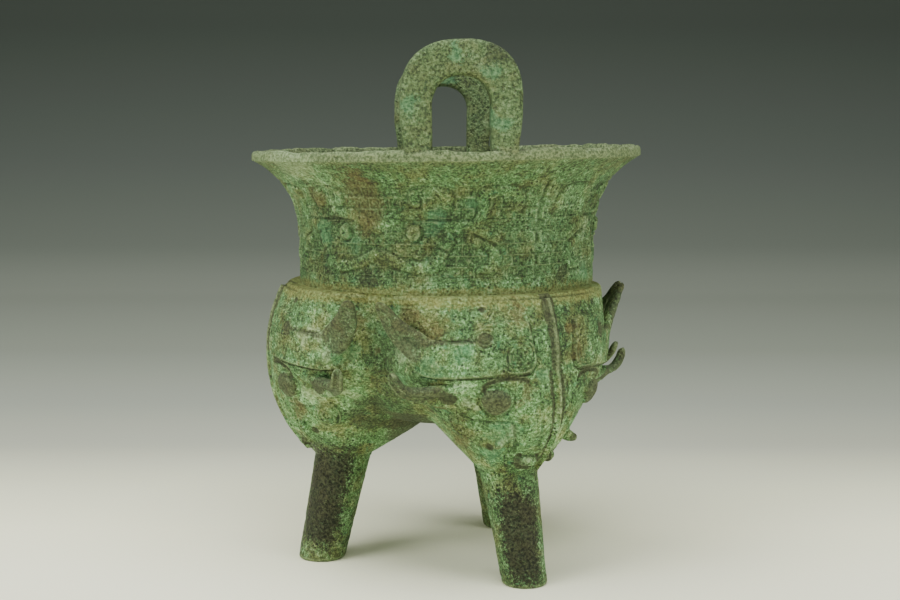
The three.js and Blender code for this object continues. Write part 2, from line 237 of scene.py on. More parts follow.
def neck_surface(turn, rise):
    radius = neck_radius(SHOULDER_HEIGHT + rise)
    angle = np.radians(turn)
    return np.stack([radius * np.cos(angle), radius * np.sin(angle), rise + 0 * angle], axis=-1)


# Carved relief: a sheet of heights over degrees and millimetres, drawn with strokes
SHEET_STEP = 0.2
RELIEF, CUT, STAIN = 2, 3, 4


def true_lengths(surface, turn, rise):
    """Millimetres along the surface for a degree of turn, then along and across that way for one of rise."""
    step = 0.5
    around = (surface(turn + step, rise) - surface(turn - step, rise)) / (2 * step)
    up = (surface(turn, rise + step) - surface(turn, rise - step)) / (2 * step)
    along = np.linalg.norm(around, axis=-1)
    slant = np.sum(around * up, axis=-1) / along
    across = np.sqrt(np.maximum(np.sum(up * up, axis=-1) - slant ** 2, 0.01))
    return np.stack([along, slant, across])


def blank_sheet(turns, rises, surface):
    across = np.arange(*turns, SHEET_STEP)
    up = np.arange(*rises, SHEET_STEP)
    sheet = {"across": across, "up": up, "scale": true_lengths(surface, *np.meshgrid(across, up))}
    # The ground is drawn where no raised form covers it
    for layer in ("cut", "raised", "ground", "cover", "stain"):
        sheet[layer] = np.zeros((len(up), len(across)))
    return sheet


def scale_at(sheet, place):
    column, row = (min(int(np.searchsorted(sheet[way], where)), len(sheet[way]) - 1)
                   for way, where in zip(("across", "up"), place))
    return sheet["scale"][:, row, column]


def placed(sheet, centre, x, y):
    """Places that lie x and y millimetres from a centre."""
    along, slant, across = scale_at(sheet, centre)
    rise = y / across
    return np.stack([centre[0] + (x - slant * rise) / along, centre[1] + rise], axis=-1)


def rounded(stroke, steps=6):
    """A curve through the stroke's points."""
    points = np.array(stroke, float)
    points = np.vstack([2 * points[0] - points[1], points, 2 * points[-1] - points[-2]])
    line = []
    for a, b, c, d in zip(points, points[1:], points[2:], points[3:]):
        for share in np.arange(steps) / steps:
            line.append(b + 0.5 * share * (c - a + share * (
                2 * a - 5 * b + 4 * c - d + share * (3 * (b - c) + d - a))))
    return np.array(line + [points[-2]])


def window(sheet, points, margin):
    """Rows and columns of the sheet that a stroke can reach."""
    low, high = points.min(0), points.max(0)
    corners = product((low[0], high[0]), (low[1], high[1]))
    narrowest = min(scale_at(sheet, corner)[0] for corner in corners)
    reach = 1.5 * margin / max(narrowest, 0.2)
    rows = slice(*np.searchsorted(sheet["up"], (low[1] - 1.2 * margin, high[1] + 1.2 * margin)))
    columns = slice(*np.searchsorted(sheet["across"], (low[0] - reach, high[0] + reach)))
    turn, rise = np.meshgrid(sheet["across"][columns], sheet["up"][rows])
    return (rows, columns), turn, rise, sheet["scale"][:, rows, columns]


def distance(line, turn, rise, scale):
    """Millimetres from each place to the nearest part of the line."""
    along, slant, across = scale
    nearest = np.full(turn.shape, 1e3)
    for (t0, r0), (t1, r1) in zip(line, line[1:]):
        ax, ay = along * (turn - t0) + slant * (rise - r0), across * (rise - r0)
        bx, by = along * (t1 - t0) + slant * (r1 - r0), across * (r1 - r0)
        share = np.clip((ax * bx + ay * by) / (bx * bx + by * by + 1e-9), 0, 1)
        nearest = np.minimum(nearest, np.hypot(ax - share * bx, ay - share * by))
    return nearest


def draw(sheet, layer, line, half_width, depth, softness=0.5):
    line = np.asarray(line, float)
    place, turn, rise, scale = window(sheet, line, half_width + softness)
    near = distance(line, turn, rise, scale)
    mark = depth * smooth((half_width - near) / softness + 0.5)
    sheet[layer][place] = np.maximum(sheet[layer][place], mark)


def groove(sheet, stroke, half_width=0.62, depth=0.75):
    draw(sheet, "cut", rounded(stroke), half_width, depth)


def ridge_line(sheet, stroke, half_width, rise, softness=0.9):
    draw(sheet, "raised", rounded(stroke), half_width, rise, softness)
    draw(sheet, "cover", rounded(stroke), half_width + 0.6, 1.0)


def stain(sheet, stroke, half_width, amount=1.0):
    draw(sheet, "stain", rounded(stroke), half_width, amount, 0.9)


def panel(sheet, outline, rise, softness=1.0):
    """A raised field inside a closed outline."""
    line = rounded(list(outline) + [outline[0]], 4)
    place, turn, height, scale = window(sheet, line, softness)
    inside = np.zeros(turn.shape, bool)
    for (t0, r0), (t1, r1) in zip(line, line[1:]):
        crosses = (r0 > height) != (r1 > height)
        inside ^= crosses & (turn < t0 + (t1 - t0) * (height - r0) / (r1 - r0 + 1e-9))
    near = distance(line, turn, height, scale)
    share = smooth(np.where(inside, near, -near) / softness + 0.5)
    sheet["raised"][place] = np.maximum(sheet["raised"][place], rise * share)
    sheet["cover"][place] = np.maximum(sheet["cover"][place], share)


def round_share(sheet, centre, half_width, half_height):
    """How far out of an oval each place lies, with 1 on its outline."""
    place, turn, rise, _ = window(sheet, np.array([centre, centre]), max(half_width, half_height) + 1)
    along, slant, across = scale_at(sheet, centre)
    x = along * (turn - centre[0]) + slant * (rise - centre[1])
    y = across * (rise - centre[1])
    return place, np.hypot(x / half_width, y / half_height)


def dome(sheet, centre, half_width, half_height, rise, power=3.0, dent=0.0):
    """A rounded boss, with a dent in its middle if one is given."""
    place, near = round_share(sheet, centre, half_width, half_height)
    lift = rise * np.sqrt(np.clip(1 - near ** power, 0, 1)) - dent * smooth(1.2 - 4.0 * near)
    sheet["raised"][place] = np.maximum(sheet["raised"][place], lift)
    sheet["cover"][place] = np.maximum(sheet["cover"][place], near < 1.1)


def dish(sheet, centre, half_width, half_height, depth):
    """A rounded hollow with a stained bottom."""
    place, near = round_share(sheet, centre, half_width, half_height)
    sheet["cut"][place] = np.maximum(sheet["cut"][place], depth * ease(near, 1, 0.5))
    sheet["stain"][place] = np.maximum(sheet["stain"][place], ease(near, 1.1, 0.8))


def blot(sheet, centre, half_width, half_height, amount=1.0):
    place, near = round_share(sheet, centre, half_width, half_height)
    sheet["stain"][place] = np.maximum(sheet["stain"][place], amount * smooth((1 - near) / 0.3 + 0.5))


def spiral(sheet, centre, start, end, turns, begin=0.0, squash=1.0):
    """A round spiral from a start radius to an end radius, both in millimetres."""
    share = np.linspace(0, 1, int(18 * abs(turns)))
    angle = begin + 2 * math.pi * turns * share
    radius = blend(start, end, share)
    return placed(sheet, centre, radius * np.cos(angle), squash * radius * np.sin(angle))


def oval(sheet, centre, half_width, half_height, squareness=2.0):
    angle = np.linspace(0, 2 * math.pi, 41)
    x, y = squared(np.cos(angle), squareness), squared(np.sin(angle), squareness)
    return placed(sheet, centre, half_width * x, half_height * y)


def rings(sheet, centre, radii, depth=0.42, squareness=2.8):
    """Fine rings one inside the other, a little squared."""
    for radius in radii:
        draw(sheet, "cut", oval(sheet, centre, 1.06 * radius, 0.95 * radius, squareness), 0.36, depth, 0.4)


def square_spiral(sheet, centre, size, hand):
    """A thunder-pattern spiral with square corners."""
    corners = np.array([(-1, -1), (1, -1), (1, 1), (-1, 1), (-1, -0.35), (0.4, -0.35), (0.4, 0.35),
                        (-0.3, 0.35)]) * size / 2
    return placed(sheet, centre, hand * corners[:, 0], corners[:, 1])


def thunder_ground(sheet, turns, rises, size, half_width, depth):
    """Rows of square spirals, which the raised forms cover."""
    rows = int((rises[1] - rises[0]) / size)
    for row in range(rows):
        rise = rises[0] + (row + 0.5) * (rises[1] - rises[0]) / rows
        along = scale_at(sheet, (sum(turns) / 2, rise))[0]
        columns = max(int((turns[1] - turns[0]) * along / size), 1)
        for column in range(columns):
            turn = turns[0] + (column + 0.5 * (row % 2) + 0.25) * (turns[1] - turns[0]) / columns
            hand = 1 if (row + column) % 2 else -1
            corners = square_spiral(sheet, (turn, rise), size * 0.76, hand)
            draw(sheet, "ground", corners, half_width, depth, 0.35)


def finished(sheet):
    """The sheet's places, its heights, how deep each place is cut, and how far it is stained."""
    ground = sheet["ground"] * (1 - sheet["cover"])
    cut = np.maximum(sheet["cut"], ground)
    return sheet["across"], sheet["up"], sheet["raised"] - cut, cut, sheet["stain"]


def read_sheet(sheet, layer, turn, rise):
    across, up = sheet[0], sheet[1]
    heights = sheet[layer]
    column = (turn - across[0]) / (across[1] - across[0])
    row = (rise - up[0]) / (up[1] - up[0])
    inside = (column >= 0) & (row >= 0) & (column < len(across) - 1) & (row < len(up) - 1)
    column = np.clip(column, 0, len(across) - 1.001)
    row = np.clip(row, 0, len(up) - 1.001)
    c, r = column.astype(int), row.astype(int)
    cs, rs = column - c, row - r
    value = blend(blend(heights[r, c], heights[r, c + 1], cs),
                  blend(heights[r + 1, c], heights[r + 1, c + 1], cs), rs)
    return np.where(inside, value, 0)


def mask_sheet():
    """Half of an animal mask, mirrored about the ridge of its lobe."""
    sheet = blank_sheet((-2, 114), (-46, 31), lobe_surface)
    # Ridge down the middle, dark at its top and beside it lower down
    ridge_line(sheet, [(0, 28), (0, 10), (0, -10), (0, -28), (0, -42)], 0.8, 1.5, 1.2)
    groove(sheet, [(3.6, 27), (3.0, 8), (3.6, -10), (5, -26), (8, -37)], 0.5, 0.5)
    stain(sheet, [(1.0, 29), (1.0, 20)], 2.1, 1.0)
    stain(sheet, [(1.0, 20), (0.8, 2)], 1.5, 1.0)
    stain(sheet, [(3.2, 0), (4.6, -14), (6, -26), (9, -38)], 1.1, 0.75)
    # Horn: a raised field that runs out to the free blade
    panel(sheet, [(12, 19.7), (11.7, 13.4), (10.7, 6.4), (11.5, 2.6), (15.2, 0), (25.4, -0.2), (35.8, -0.9),
                  (46.3, -1.4), (60.8, -2), (70, 0), (76, 6), (74, 12.5), (65.5, 12.4), (55.7, 12.4),
                  (48.5, 12.9), (40.5, 14.2), (36, 18.6), (28, 20.6), (18, 20.8)], 1.2, 1.3)
    groove(sheet, [(12.4, 19.9), (11.9, 13.4), (10.8, 6.4), (11.4, 2.9), (15, 0), (25.4, 0), (35.8, -0.9),
                   (46.3, -1.4), (60.8, -2), (69, -1.4)], 0.62, 0.8)
    groove(sheet, [(71.9, 13.9), (65.5, 12.5), (55.7, 12.4), (48.5, 13.0), (38.8, 13.6)], 0.5, 0.5)
    stain(sheet, [(74, 15.2), (65.5, 12.6), (55.7, 12.6), (48.5, 13.2), (38.8, 13.8)], 1.2, 0.6)
    stain(sheet, [(15, 0), (25.4, 0), (35.8, -0.9), (46.3, -1.4), (60.8, -2)], 0.9, 0.5)
    rings(sheet, (19.9, 7.0), (1.3, 2.8, 4.3, 5.8, 7.2))
    rings(sheet, (34.7, 14.2), (2.0, 3.5, 5.0), 0.4, 2.2)
    blot(sheet, (34.7, 13.8), 3.1, 3.3, 0.8)
    rings(sheet, (33.7, 24.6), (1.7, 3.2, 4.7), 0.3)
    dish(sheet, (33.7, 25.4), 1.5, 1.3, 0.7)
    rings(sheet, (20.5, 24), (1.5, 3.0), 0.3)
    rings(sheet, (33, 4.8), (1.4, 2.9), 0.26)
    groove(sheet, [(47.5, 10.8), (46.4, 7.6), (43.5, 7.2)], 0.45, 0.55)
    groove(sheet, [(54.5, 9.8), (53.6, 6.8)], 0.5, 0.5)
    groove(sheet, [(30, 2.2), (38, 2), (47, 1.6), (56, 1.8), (64, 3.6)], 0.4, 0.35)
    groove(sheet, [(15.4, 15), (14.6, 8), (14.2, 4.6), (17, 2.4)], 0.38, 0.35)
    groove(sheet, [(58, 27.4), (70, 26.4), (84, 26)], 0.34, 0.35)
    groove(sheet, [(62, 25.8), (72, 24.8), (82, 24.6)], 0.34, 0.3)
    # Brow over the eye
    groove(sheet, [(40.2, -6.6), (37.9, -4.3), (32.3, -2.5), (25.7, -1.5), (19.7, -1.7), (16, -2.8),
                   (15.2, -5.2)], 0.6, 0.65)
    stain(sheet, [(40.2, -6.4), (37.9, -4.3), (32.3, -2.4), (25.7, -1.4), (19.7, -1.6), (16, -2.8)],
          1.2, 0.9)
    # Eye: a boss in a ring, between its lids
    dome(sheet, EYE, EYE_RADIUS, EYE_RADIUS, EYE_PROUD, 2.6, 0.4)
    blot(sheet, EYE, EYE_RADIUS, EYE_RADIUS)
    draw(sheet, "cut", oval(sheet, EYE, EYE_RING_RADIUS, EYE_RING_RADIUS), 0.5, 0.6)
    groove(sheet, [(70, -17.4), (66, -19.4), (55.7, -19.7), (43.8, -19.9), (33.6, -19.8), (31.2, -20.9),
                   (31.7, -24.5), (33.5, -33.7)], 0.55, 0.7)
    groove(sheet, [(26, -19), (22, -15), (19.6, -9.6)], 0.4, 0.35)
    dish(sheet, (63, -9.7), 3.4, 3.9, 0.8)
    ridge_line(sheet, [(56.5, -14.6), (53.6, -12), (54.4, -9)], 0.8, 0.5)
    # Cheek, snout and jaw
    ridge_line(sheet, [(18.4, -13), (19.4, -20), (22.6, -27), (27, -31)], 1.1, 0.5)
    groove(sheet, [(13, -12), (13.4, -19), (15.8, -26), (18.5, -31)], 0.45, 0.45)
    dome(sheet, SNOUT, 3.2, 2.7, 1.9, 2.4)
    groove(sheet, [(17.6, -35.3), (18.4, -39.5), (25, -41.4), (31, -38.6), (29.8, -34.6)], 0.5, 0.6)
    stain(sheet, [(17.6, -35.3), (18.4, -39.5), (25, -41.6), (31, -38.6), (29.8, -34.6)], 1.0, 0.8)
    groove(sheet, [(38.5, -21.5), (36.8, -27), (38, -32), (44, -36)], 0.5, 0.55)
    dome(sheet, (35, -26.5), 0.9, 0.9, 0.6)
    dish(sheet, (57, -31.4), 2.0, 2.2, 0.8)
    dome(sheet, CURL, CURL_SIZE[0], CURL_SIZE[1], 1.9, 5.0)
    draw(sheet, "cut", oval(sheet, CURL, CURL_SIZE[0] - 1.3, CURL_SIZE[1] - 1.3), 0.42, 0.6)
    draw(sheet, "cut", spiral(sheet, CURL, 3.3, 0.6, 1.7, 1.6, 1.35), 0.42, 0.6)
    # Worn square spirals behind the mask
    thunder_ground(sheet, (40, 60), (16.5, 26), 3.8, 0.36, 0.3)
    thunder_ground(sheet, (72, 92), (-10, 8), 4.4, 0.4, 0.2)
    thunder_ground(sheet, (4.6, 10.4), (-8, 22), 3.8, 0.38, 0.26)
    thunder_ground(sheet, (40, 60), (-40, -30), 4.2, 0.38, 0.2)
    return finished(sheet)


def band_sheet():
    """Half of a pair of dragons, mirrored about the seam over each lobe."""
    sheet = blank_sheet((-2, 64), (-1, 48), neck_surface)
    thunder_ground(sheet, (1.2, 63), (BAND_BOTTOM + 0.8, BAND_TOP - 1.2), 4.3, 0.42, 0.62)
    # Bodies
    ridge_line(sheet, [(26.5, 27.6), (23, 30), (22.3, 34), (22.4, 38), (20.8, 40.8), (14, 41), (10.4, 40),
                       (8.7, 37), (9.2, 34.4)], 1.5, 0.3)
    ridge_line(sheet, [(60, 27), (50, 31.6), (42, 31.6), (33, 27.6), (27, 27.2), (22, 25), (17.4, 22.4)],
               1.9, 0.3)
    ridge_line(sheet, [(24, 21), (19.4, 18.2), (17.2, 15), (17.4, 11.6), (20, 9.8), (23, 10.6)], 1.5, 0.3)
    ridge_line(sheet, [(46, 40.4), (45.8, 37.2), (42, 36.2)], 1.4, 0.3)
    ridge_line(sheet, [(36.6, 41.6), (34.8, 38.4), (34.8, 35.6)], 1.6, 0.3)
    ridge_line(sheet, [(58, 16), (52, 12.6), (44, 10.6), (37.6, 12.6), (35.6, 17), (33.6, 22)], 1.9, 0.3)
    # Outlines
    for stroke in (
        [(24.8, 39.8), (24, 41.4), (22.9, 42.4), (19.9, 43), (13.4, 43.1), (10.1, 42.3), (8.2, 40.7),
         (6.7, 37.9), (6.6, 34.7), (7.8, 32.7), (10.2, 32), (12.9, 32.6)],
        [(24.8, 39.8), (24.7, 36.6), (24.5, 33.1), (24.9, 30.9), (26.4, 29.7), (28.5, 29.9), (35.9, 29.6),
         (43.7, 29.9), (50, 29)],
        [(18.1, 33.8), (18.8, 36.5), (17.4, 38.3), (14.6, 38.1), (12.2, 38.2), (10.7, 36.4), (10.9, 34.8)],
        [(41.5, 39.8), (39.9, 40.2), (38.5, 38.3), (38.4, 35.9), (36.9, 33.7), (34.5, 33.1), (32.3, 34.5),
         (31.6, 37.5), (32.7, 40.2), (34.6, 42)],
        [(35.5, 42.2), (38.2, 42.8), (42.4, 43.2), (46, 42.2), (47.9, 39), (47.7, 35.8), (45.5, 34.2),
         (43.6, 35.1), (43.1, 37.4), (43.8, 39)],
        [(38, 22), (37.3, 18.9), (35.6, 17.5), (33.8, 16.5), (34.9, 14.1)],
        [(33.8, 16.9), (32.1, 19.3), (31.7, 22.2)],
        [(28.4, 25.6), (26.2, 25), (24.1, 23.5), (21.1, 21.9), (17.8, 20.2), (15.1, 18.2), (14, 15),
         (14.5, 11.8), (15.6, 9.5), (17.5, 7.9), (19.8, 8), (23, 8.4)],
        [(22.4, 18.6), (20, 16.6), (19.3, 14.4), (20.3, 12.4), (22, 12.6)],
        [(59, 19), (52, 15.4), (45, 13.8), (40.6, 15.4), (39.4, 19)],
        [(58, 12), (50, 9), (43, 7.6), (37, 9)],
        [(27, 31.5), (29.6, 33), (29.8, 37), (28.4, 41)],
    ):
        groove(sheet, stroke, 0.52, 0.7)
    # Eye
    dome(sheet, DRAGON_EYE, DRAGON_EYE_RADIUS - 0.4, DRAGON_EYE_RADIUS - 0.1, 1.3, 3.0, 0.5)
    draw(sheet, "cut", oval(sheet, DRAGON_EYE, DRAGON_EYE_RADIUS + 0.3, DRAGON_EYE_RADIUS + 0.6), 0.5, 0.7)
    for blob in ((45.9, 15.6), (52.1, 20), (26.8, 13.7), (34.9, 36.6)):
        dome(sheet, blob, 0.9, 0.9, 0.55, 2.4)
    # Flange groove at the seam, and the lines that close the band
    groove(sheet, [(0, BAND_BOTTOM), (0, 20), (0.2, 32), (0, BAND_TOP)], 0.7, 0.9)
    draw(sheet, "cut", [(0, BAND_BOTTOM), (64, BAND_BOTTOM)], 0.42, 0.35)
    draw(sheet, "cut", [(0, BAND_TOP), (64, BAND_TOP)], 0.42, 0.35)
    return finished(sheet)


MASK = mask_sheet()
BAND = band_sheet()


# Meshes
def points_of(mesh):
    flat = np.empty(len(mesh.vertices) * 3)
    mesh.vertices.foreach_get("co", flat)
    return flat.reshape(-1, 3)


def place_points(mesh, points):
    mesh.vertices.foreach_set("co", np.ascontiguousarray(points).ravel())
    mesh.update()


def piece(name, shape):
    """An object from a bmesh."""
    mesh = bpy.data.meshes.new(name)
    shape.to_mesh(mesh)
    shape.free()
    made = bpy.data.objects.new(name, mesh)
    bpy.context.scene.collection.objects.link(made)
    return made


def face_outwards(made):
    shape = bmesh.new()
    shape.from_mesh(made.data)
    bmesh.ops.recalc_face_normals(shape, faces=shape.faces)
    shape.to_mesh(made.data)
    shape.free()
    return made


def move_points(shape, drawn, way):
    """Moves what was drawn out of a shape, and turns its faces outwards."""
    bmesh.ops.translate(shape, verts=[v for v in drawn if isinstance(v, bmesh.types.BMVert)], vec=way)
    bmesh.ops.recalc_face_normals(shape, faces=shape.faces)


def moulded(name, columns, rows, place):
    """A closed tube whose points are placed by their angle and their share of its length."""
    shape = bmesh.new()
    bmesh.ops.create_cone(shape, cap_ends=True, segments=columns, radius1=1, radius2=1, depth=1)
    sides = [e for e in shape.edges if abs(e.verts[0].co.z - e.verts[1].co.z) > 0.5]
    bmesh.ops.subdivide_edges(shape, edges=sides, cuts=rows - 1, use_grid_fill=True)
    made = piece(name, shape)
    points = points_of(made.data)
    place_points(made.data, place(np.arctan2(points[:, 1], points[:, 0]), points[:, 2] + 0.5))
    return face_outwards(made)


def turned(name, outline, steps):
    """An outline from pole to pole, turned about the vessel's axis."""
    shape = bmesh.new()
    corners = [shape.verts.new((r, 0, z)) for r, z in outline]
    edges = [shape.edges.new(pair) for pair in zip(corners, corners[1:])]
    bmesh.ops.spin(shape, geom=corners + edges, cent=(0, 0, 0), axis=(0, 0, 1), dvec=(0, 0, 0),
                   angle=2 * math.pi, steps=steps, use_merge=True)
    bmesh.ops.remove_doubles(shape, verts=shape.verts, dist=1e-3)
    bmesh.ops.recalc_face_normals(shape, faces=shape.faces)
    return piece(name, shape)


def combine(base, others, operation):
    """Joins, cuts or meets solids, and leaves one object. The others go with their meshes."""
    for other in others:
        step = base.modifiers.new("combine", "BOOLEAN")
        step.operation = operation
        step.solver = "MANIFOLD"
        step.object = other
        graph = bpy.context.evaluated_depsgraph_get()
        mesh = bpy.data.meshes.new_from_object(base.evaluated_get(graph))
        old = base.data
        base.modifiers.clear()
        base.data = mesh
        bpy.data.meshes.remove(old)
        bpy.data.meshes.remove(other.data)
    return base


def swept(name, columns, rows, line, half_width, half_height, squareness=2.0, hollow=0.0):
    """A bar along a line, half_width across and half_height towards up, where its face may be hollowed."""
    path, up = line

    def place(angle, share):
        centre = path(share)
        along = path(np.minimum(share + 0.01, 1)) - path(np.maximum(share - 0.01, 0))
        along /= np.linalg.norm(along, axis=1, keepdims=True)
        rise = up(share)
        rise = rise - along * np.sum(rise * along, axis=1, keepdims=True)
        rise /= np.linalg.norm(rise, axis=1, keepdims=True)
        side = np.cross(along, rise)
        x, y = squared(np.sin(angle), squareness), squared(np.cos(angle), squareness)
        y = np.where(y > 0, y * (1 - hollow * np.exp(-(x / 0.55) ** 2)), y)
        return centre + side * (half_width(share) * x)[:, None] + rise * (half_height(share) * y)[:, None]

    return moulded(name, columns, rows, place)


def on_lobe(stroke, side):
    """The path of a stroke over a lobe, and the way that points off the surface there."""
    line = rounded(stroke, 12)
    marks = np.linspace(0, 1, len(line))

    def read(share):
        return (np.interp(share, marks, line[:, i]) for i in range(3))

    def up(share):
        turn, rise, _ = read(share)
        return lobe_normal(np.radians(turn * side), BELLY_HEIGHT + rise)

    def path(share):
        turn, rise, lift = read(share)
        return lobe_point(np.radians(turn * side), BELLY_HEIGHT + rise) + up(share) * lift[:, None]

    return path, up


def tapered(root, middle, tip, rounding):
    """A half size along a bar, which closes to a rounded end from the rounding's share on."""
    def size(share):
        body = np.interp(share, (0, 0.5, 1), (root, middle, tip))
        past = ((share - rounding) / (1.002 - rounding)).clip(0)
        return body * np.sqrt(np.clip(1 - past ** 2, 0.0004, 1))

    return size


# Lobe, leg and mask
LOBE_COLUMNS = 372
LOBE_ROWS = 196
ROUNDED_ROWS = 3


def mask_turn(turn, rise, lobe):
    """Where a place on a lobe lies on the mask. The front mask's ridge wanders to the right low down."""
    low = np.clip(-rise / 39, 0, 1.1) ** 1.4
    return np.abs(turn - RIDGE_DRIFTS[lobe] * low * np.exp(-(turn / 22) ** 2))


def lobe_outside(lobe):
    bottom = LEG_TOP - 1
    top = SHOULDER_HEIGHT - SHOULDER_ROUND
    # Most columns go to the outer half, which carries the mask
    outer_columns = 0.86 * math.pi

    def place(angle, share):
        turn = np.interp(np.abs(angle), (0, outer_columns, math.pi), (0, math.radians(90), math.pi))
        turn = np.sign(angle) * turn
        share = share * LOBE_ROWS / (LOBE_ROWS - ROUNDED_ROWS)
        height = blend(bottom, top, np.minimum(share, 1))
        rounding = np.clip((share - 1) * (LOBE_ROWS - ROUNDED_ROWS) / ROUNDED_ROWS, 0, 1) * math.pi / 2
        points = lobe_point(turn, height)
        rise = height - BELLY_HEIGHT
        relief = read_sheet(MASK, RELIEF, mask_turn(np.degrees(turn), rise, lobe), rise)
        points += lobe_normal(turn, height) * relief[:, None]
        edge = lobe_point(turn, SHOULDER_HEIGHT + 0 * turn, SHOULDER_ROUND * (1 - np.cos(rounding)))
        edge[:, 2] = top + SHOULDER_ROUND * np.sin(rounding)
        return np.where((share > 1)[:, None], edge, points)

    return moulded("lobe", LOBE_COLUMNS, LOBE_ROWS, place)


def lobe_inside():
    bottom = LEG_TOP + LOBE_FLOOR
    top = SHOULDER_HEIGHT - WALL

    def place(angle, share):
        height = blend(bottom, top, np.minimum(share * 1.06, 1))
        closing = np.clip((0.14 - share) / 0.14, 0, 1)
        points = lobe_point(angle, height, WALL, height - 0.5 * WALL * (1 - share))
        middle = lobe_section(height, WALL)[0]
        points[:, 0] = blend(points[:, 0], middle, 0.55 * closing ** 2)
        points[:, 1] *= 1 - 0.55 * closing ** 2
        points[:, 2] = np.where(share > 0.945, top, points[:, 2])
        return points

    return moulded("lobe_hollow", 56, 34, place)


def leg(lobe):
    top = LEG_TOP + LOBE_FLOOR - 1
    turn = math.radians(FOOT_TURNS[lobe])

    def place(angle, share):
        height = blend(0, top, share)
        up = height / LEG_TOP
        radius = blend(FOOT_RADII[lobe], LEG_TOP_RADIUS - 0.2, np.clip(up, 0, 1) ** 1.15)
        radius = radius - 0.9 * np.clip(1 - height / 1.1, 0, 1) ** 2
        x = blend(FOOT_REACH * math.cos(turn), LEG_TOP_REACH, up)
        y = blend(FOOT_REACH * math.sin(turn), 0, np.minimum(up, 1))
        return np.stack([x + radius * np.cos(angle), y + radius * np.sin(angle), height], 1)

    return moulded("leg", 76, 84, place)


def horn(side):
    line = on_lobe([(40, 5.6, -1.5), (50, 6, -0.6), (62, 7.5, 0.8), (70, 12, 3), (75.5, 18.5, 7),
                    (77.4, 24.5, 10), (78.4, 29.6, 13)], side)
    half_width, half_height = tapered(6.9, 6.3, 2.3, 0.93), tapered(1.7, 2.6, 1.3, 0.93)
    return swept("horn", 44, 84, line, half_width, half_height, 2.3, 0.25)


def ear(side):
    line = on_lobe([(55, -10, -1.6), (66, -8, 1.8), (71.5, -4.2, 6.4), (74.5, 1, 12.5)], side)
    half_width, half_height = tapered(6.2, 5.4, 1.8, 0.92), tapered(3.0, 2.9, 1.7, 0.92)
    return swept("ear", 44, 56, line, half_width, half_height, 2.2, 0.7)


def fang(lobe, side):
    length, tip = (1.4, 1.7) if (lobe, side) in BROKEN_FANGS else (4.6, 1.3)
    turn, rise = FANG
    line = on_lobe([(turn - 3.5, rise - 1, -1.5), (turn - 2, rise - 0.7, length / 2), (turn, rise, length)],
                   side)
    return swept("fang", 24, 20, line, tapered(2.7, 2.4, tip, 0.85), tapered(2.2, 1.9, tip, 0.85))


def creases(lobe):
    """How far the lobe's share of the body reaches either way, in degrees."""
    azimuths = (LOBE_AZIMUTHS[-1] - 360,) + LOBE_AZIMUTHS + (LOBE_AZIMUTHS[0] + 360,)
    own = LOBE_AZIMUTHS[lobe]
    return (azimuths[lobe] - own) / 2, (azimuths[lobe + 2] - own) / 2


def wedge(lobe):
    """The lobe's share of a turn about the vessel's axis, up to the shoulder."""
    far, below = 600, 5
    shape = bmesh.new()
    corners = [shape.verts.new((0, 0, -below))]
    for angle in creases(lobe):
        turn = math.radians(angle)
        corners.append(shape.verts.new((far * math.cos(turn), far * math.sin(turn), -below)))
    raised = bmesh.ops.extrude_face_region(shape, geom=[shape.faces.new(corners)])["geom"]
    move_points(shape, raised, (0, 0, SHOULDER_HEIGHT + below))
    return piece("wedge", shape)


def hollowed(solid):
    """Cuts the vessel's hollow and the lobe's out of a solid."""
    return combine(solid, [turned("body_hollow", inside_outline(), 120), lobe_inside()], "DIFFERENCE")


def lobe_casting(lobe):
    """A lobe with its leg and mask, and its share of the round body, in the lobe's own directions."""
    body = turned("body", body_outline(56) + [(BODY_RADIUS, SHOULDER_HEIGHT), (0, SHOULDER_HEIGHT)], 168)
    casting = hollowed(combine(lobe_outside(lobe), [body, leg(lobe)], "UNION"))
    combine(casting, [wedge(lobe)], "INTERSECT")
    for side in (1, -1):
        for form in (horn(side), ear(side), fang(lobe, side)):
            combine(casting, [hollowed(form)], "UNION")
    return casting


# Neck, lip and handles
NECK_STEPS = 672
# The lip's edge, as far in from the rim and as far below it
LIP_OUTLINE = ((0, 3), (0, 1.6), (0.25, 0.6), (0.9, 0), (2, 0), (3.4, 0))


def from_seam(points):
    """Degrees from the nearest lobe's middle, where the band's dragons meet."""
    turn = azimuth_of(points[:, 0], points[:, 1])
    return np.min([np.abs(turn_between(azimuth, turn)) for azimuth in LOBE_AZIMUTHS], axis=0)


def neck_casting():
    """The neck, carved square to its flare, with the handles on its rim."""
    fine_rises, coarse_rises = np.arange(0, 46.0, 0.5), np.linspace(46.2, FLARE_HEIGHT, 13)
    outline = [(0.0, SHOULDER_HEIGHT)]
    for h in (*fine_rises, *coarse_rises):
        outline.append((float(neck_radius(SHOULDER_HEIGHT + h)), SHOULDER_HEIGHT + float(h)))
    outline += [(RIM_RADIUS - inward, RIM_HEIGHT - below) for inward, below in LIP_OUTLINE]
    neck = turned("neck_and_handles", outline + [(0.0, RIM_HEIGHT)], NECK_STEPS)
    points = points_of(neck.data)
    radius = from_axis(points)
    rise = points[:, 2] - SHOULDER_HEIGHT
    relief = np.where(radius > NECK_RADIUS - 1, read_sheet(BAND, RELIEF, from_seam(points), rise), 0)
    levels = np.linspace(0, 50, 500)
    slope = np.interp(rise, levels, np.gradient(neck_radius(SHOULDER_HEIGHT + levels), levels[1]))
    length = np.sqrt(1 + slope ** 2)
    points[:, :2] *= (1 + relief / length / np.maximum(radius, 1))[:, None]
    points[:, 2] -= relief * slope / length
    place_points(neck.data, points)
    combine(neck, handles(), "UNION")
    # The hollow leaves out the handles, whose roots stand in the lip
    hollow = combine(turned("neck_hollow", inside_outline(), 180), handles(), "DIFFERENCE")
    return combine(neck, [hollow], "DIFFERENCE")


def handles():
    return [handle(azimuth) for azimuth in HANDLE_AZIMUTHS]


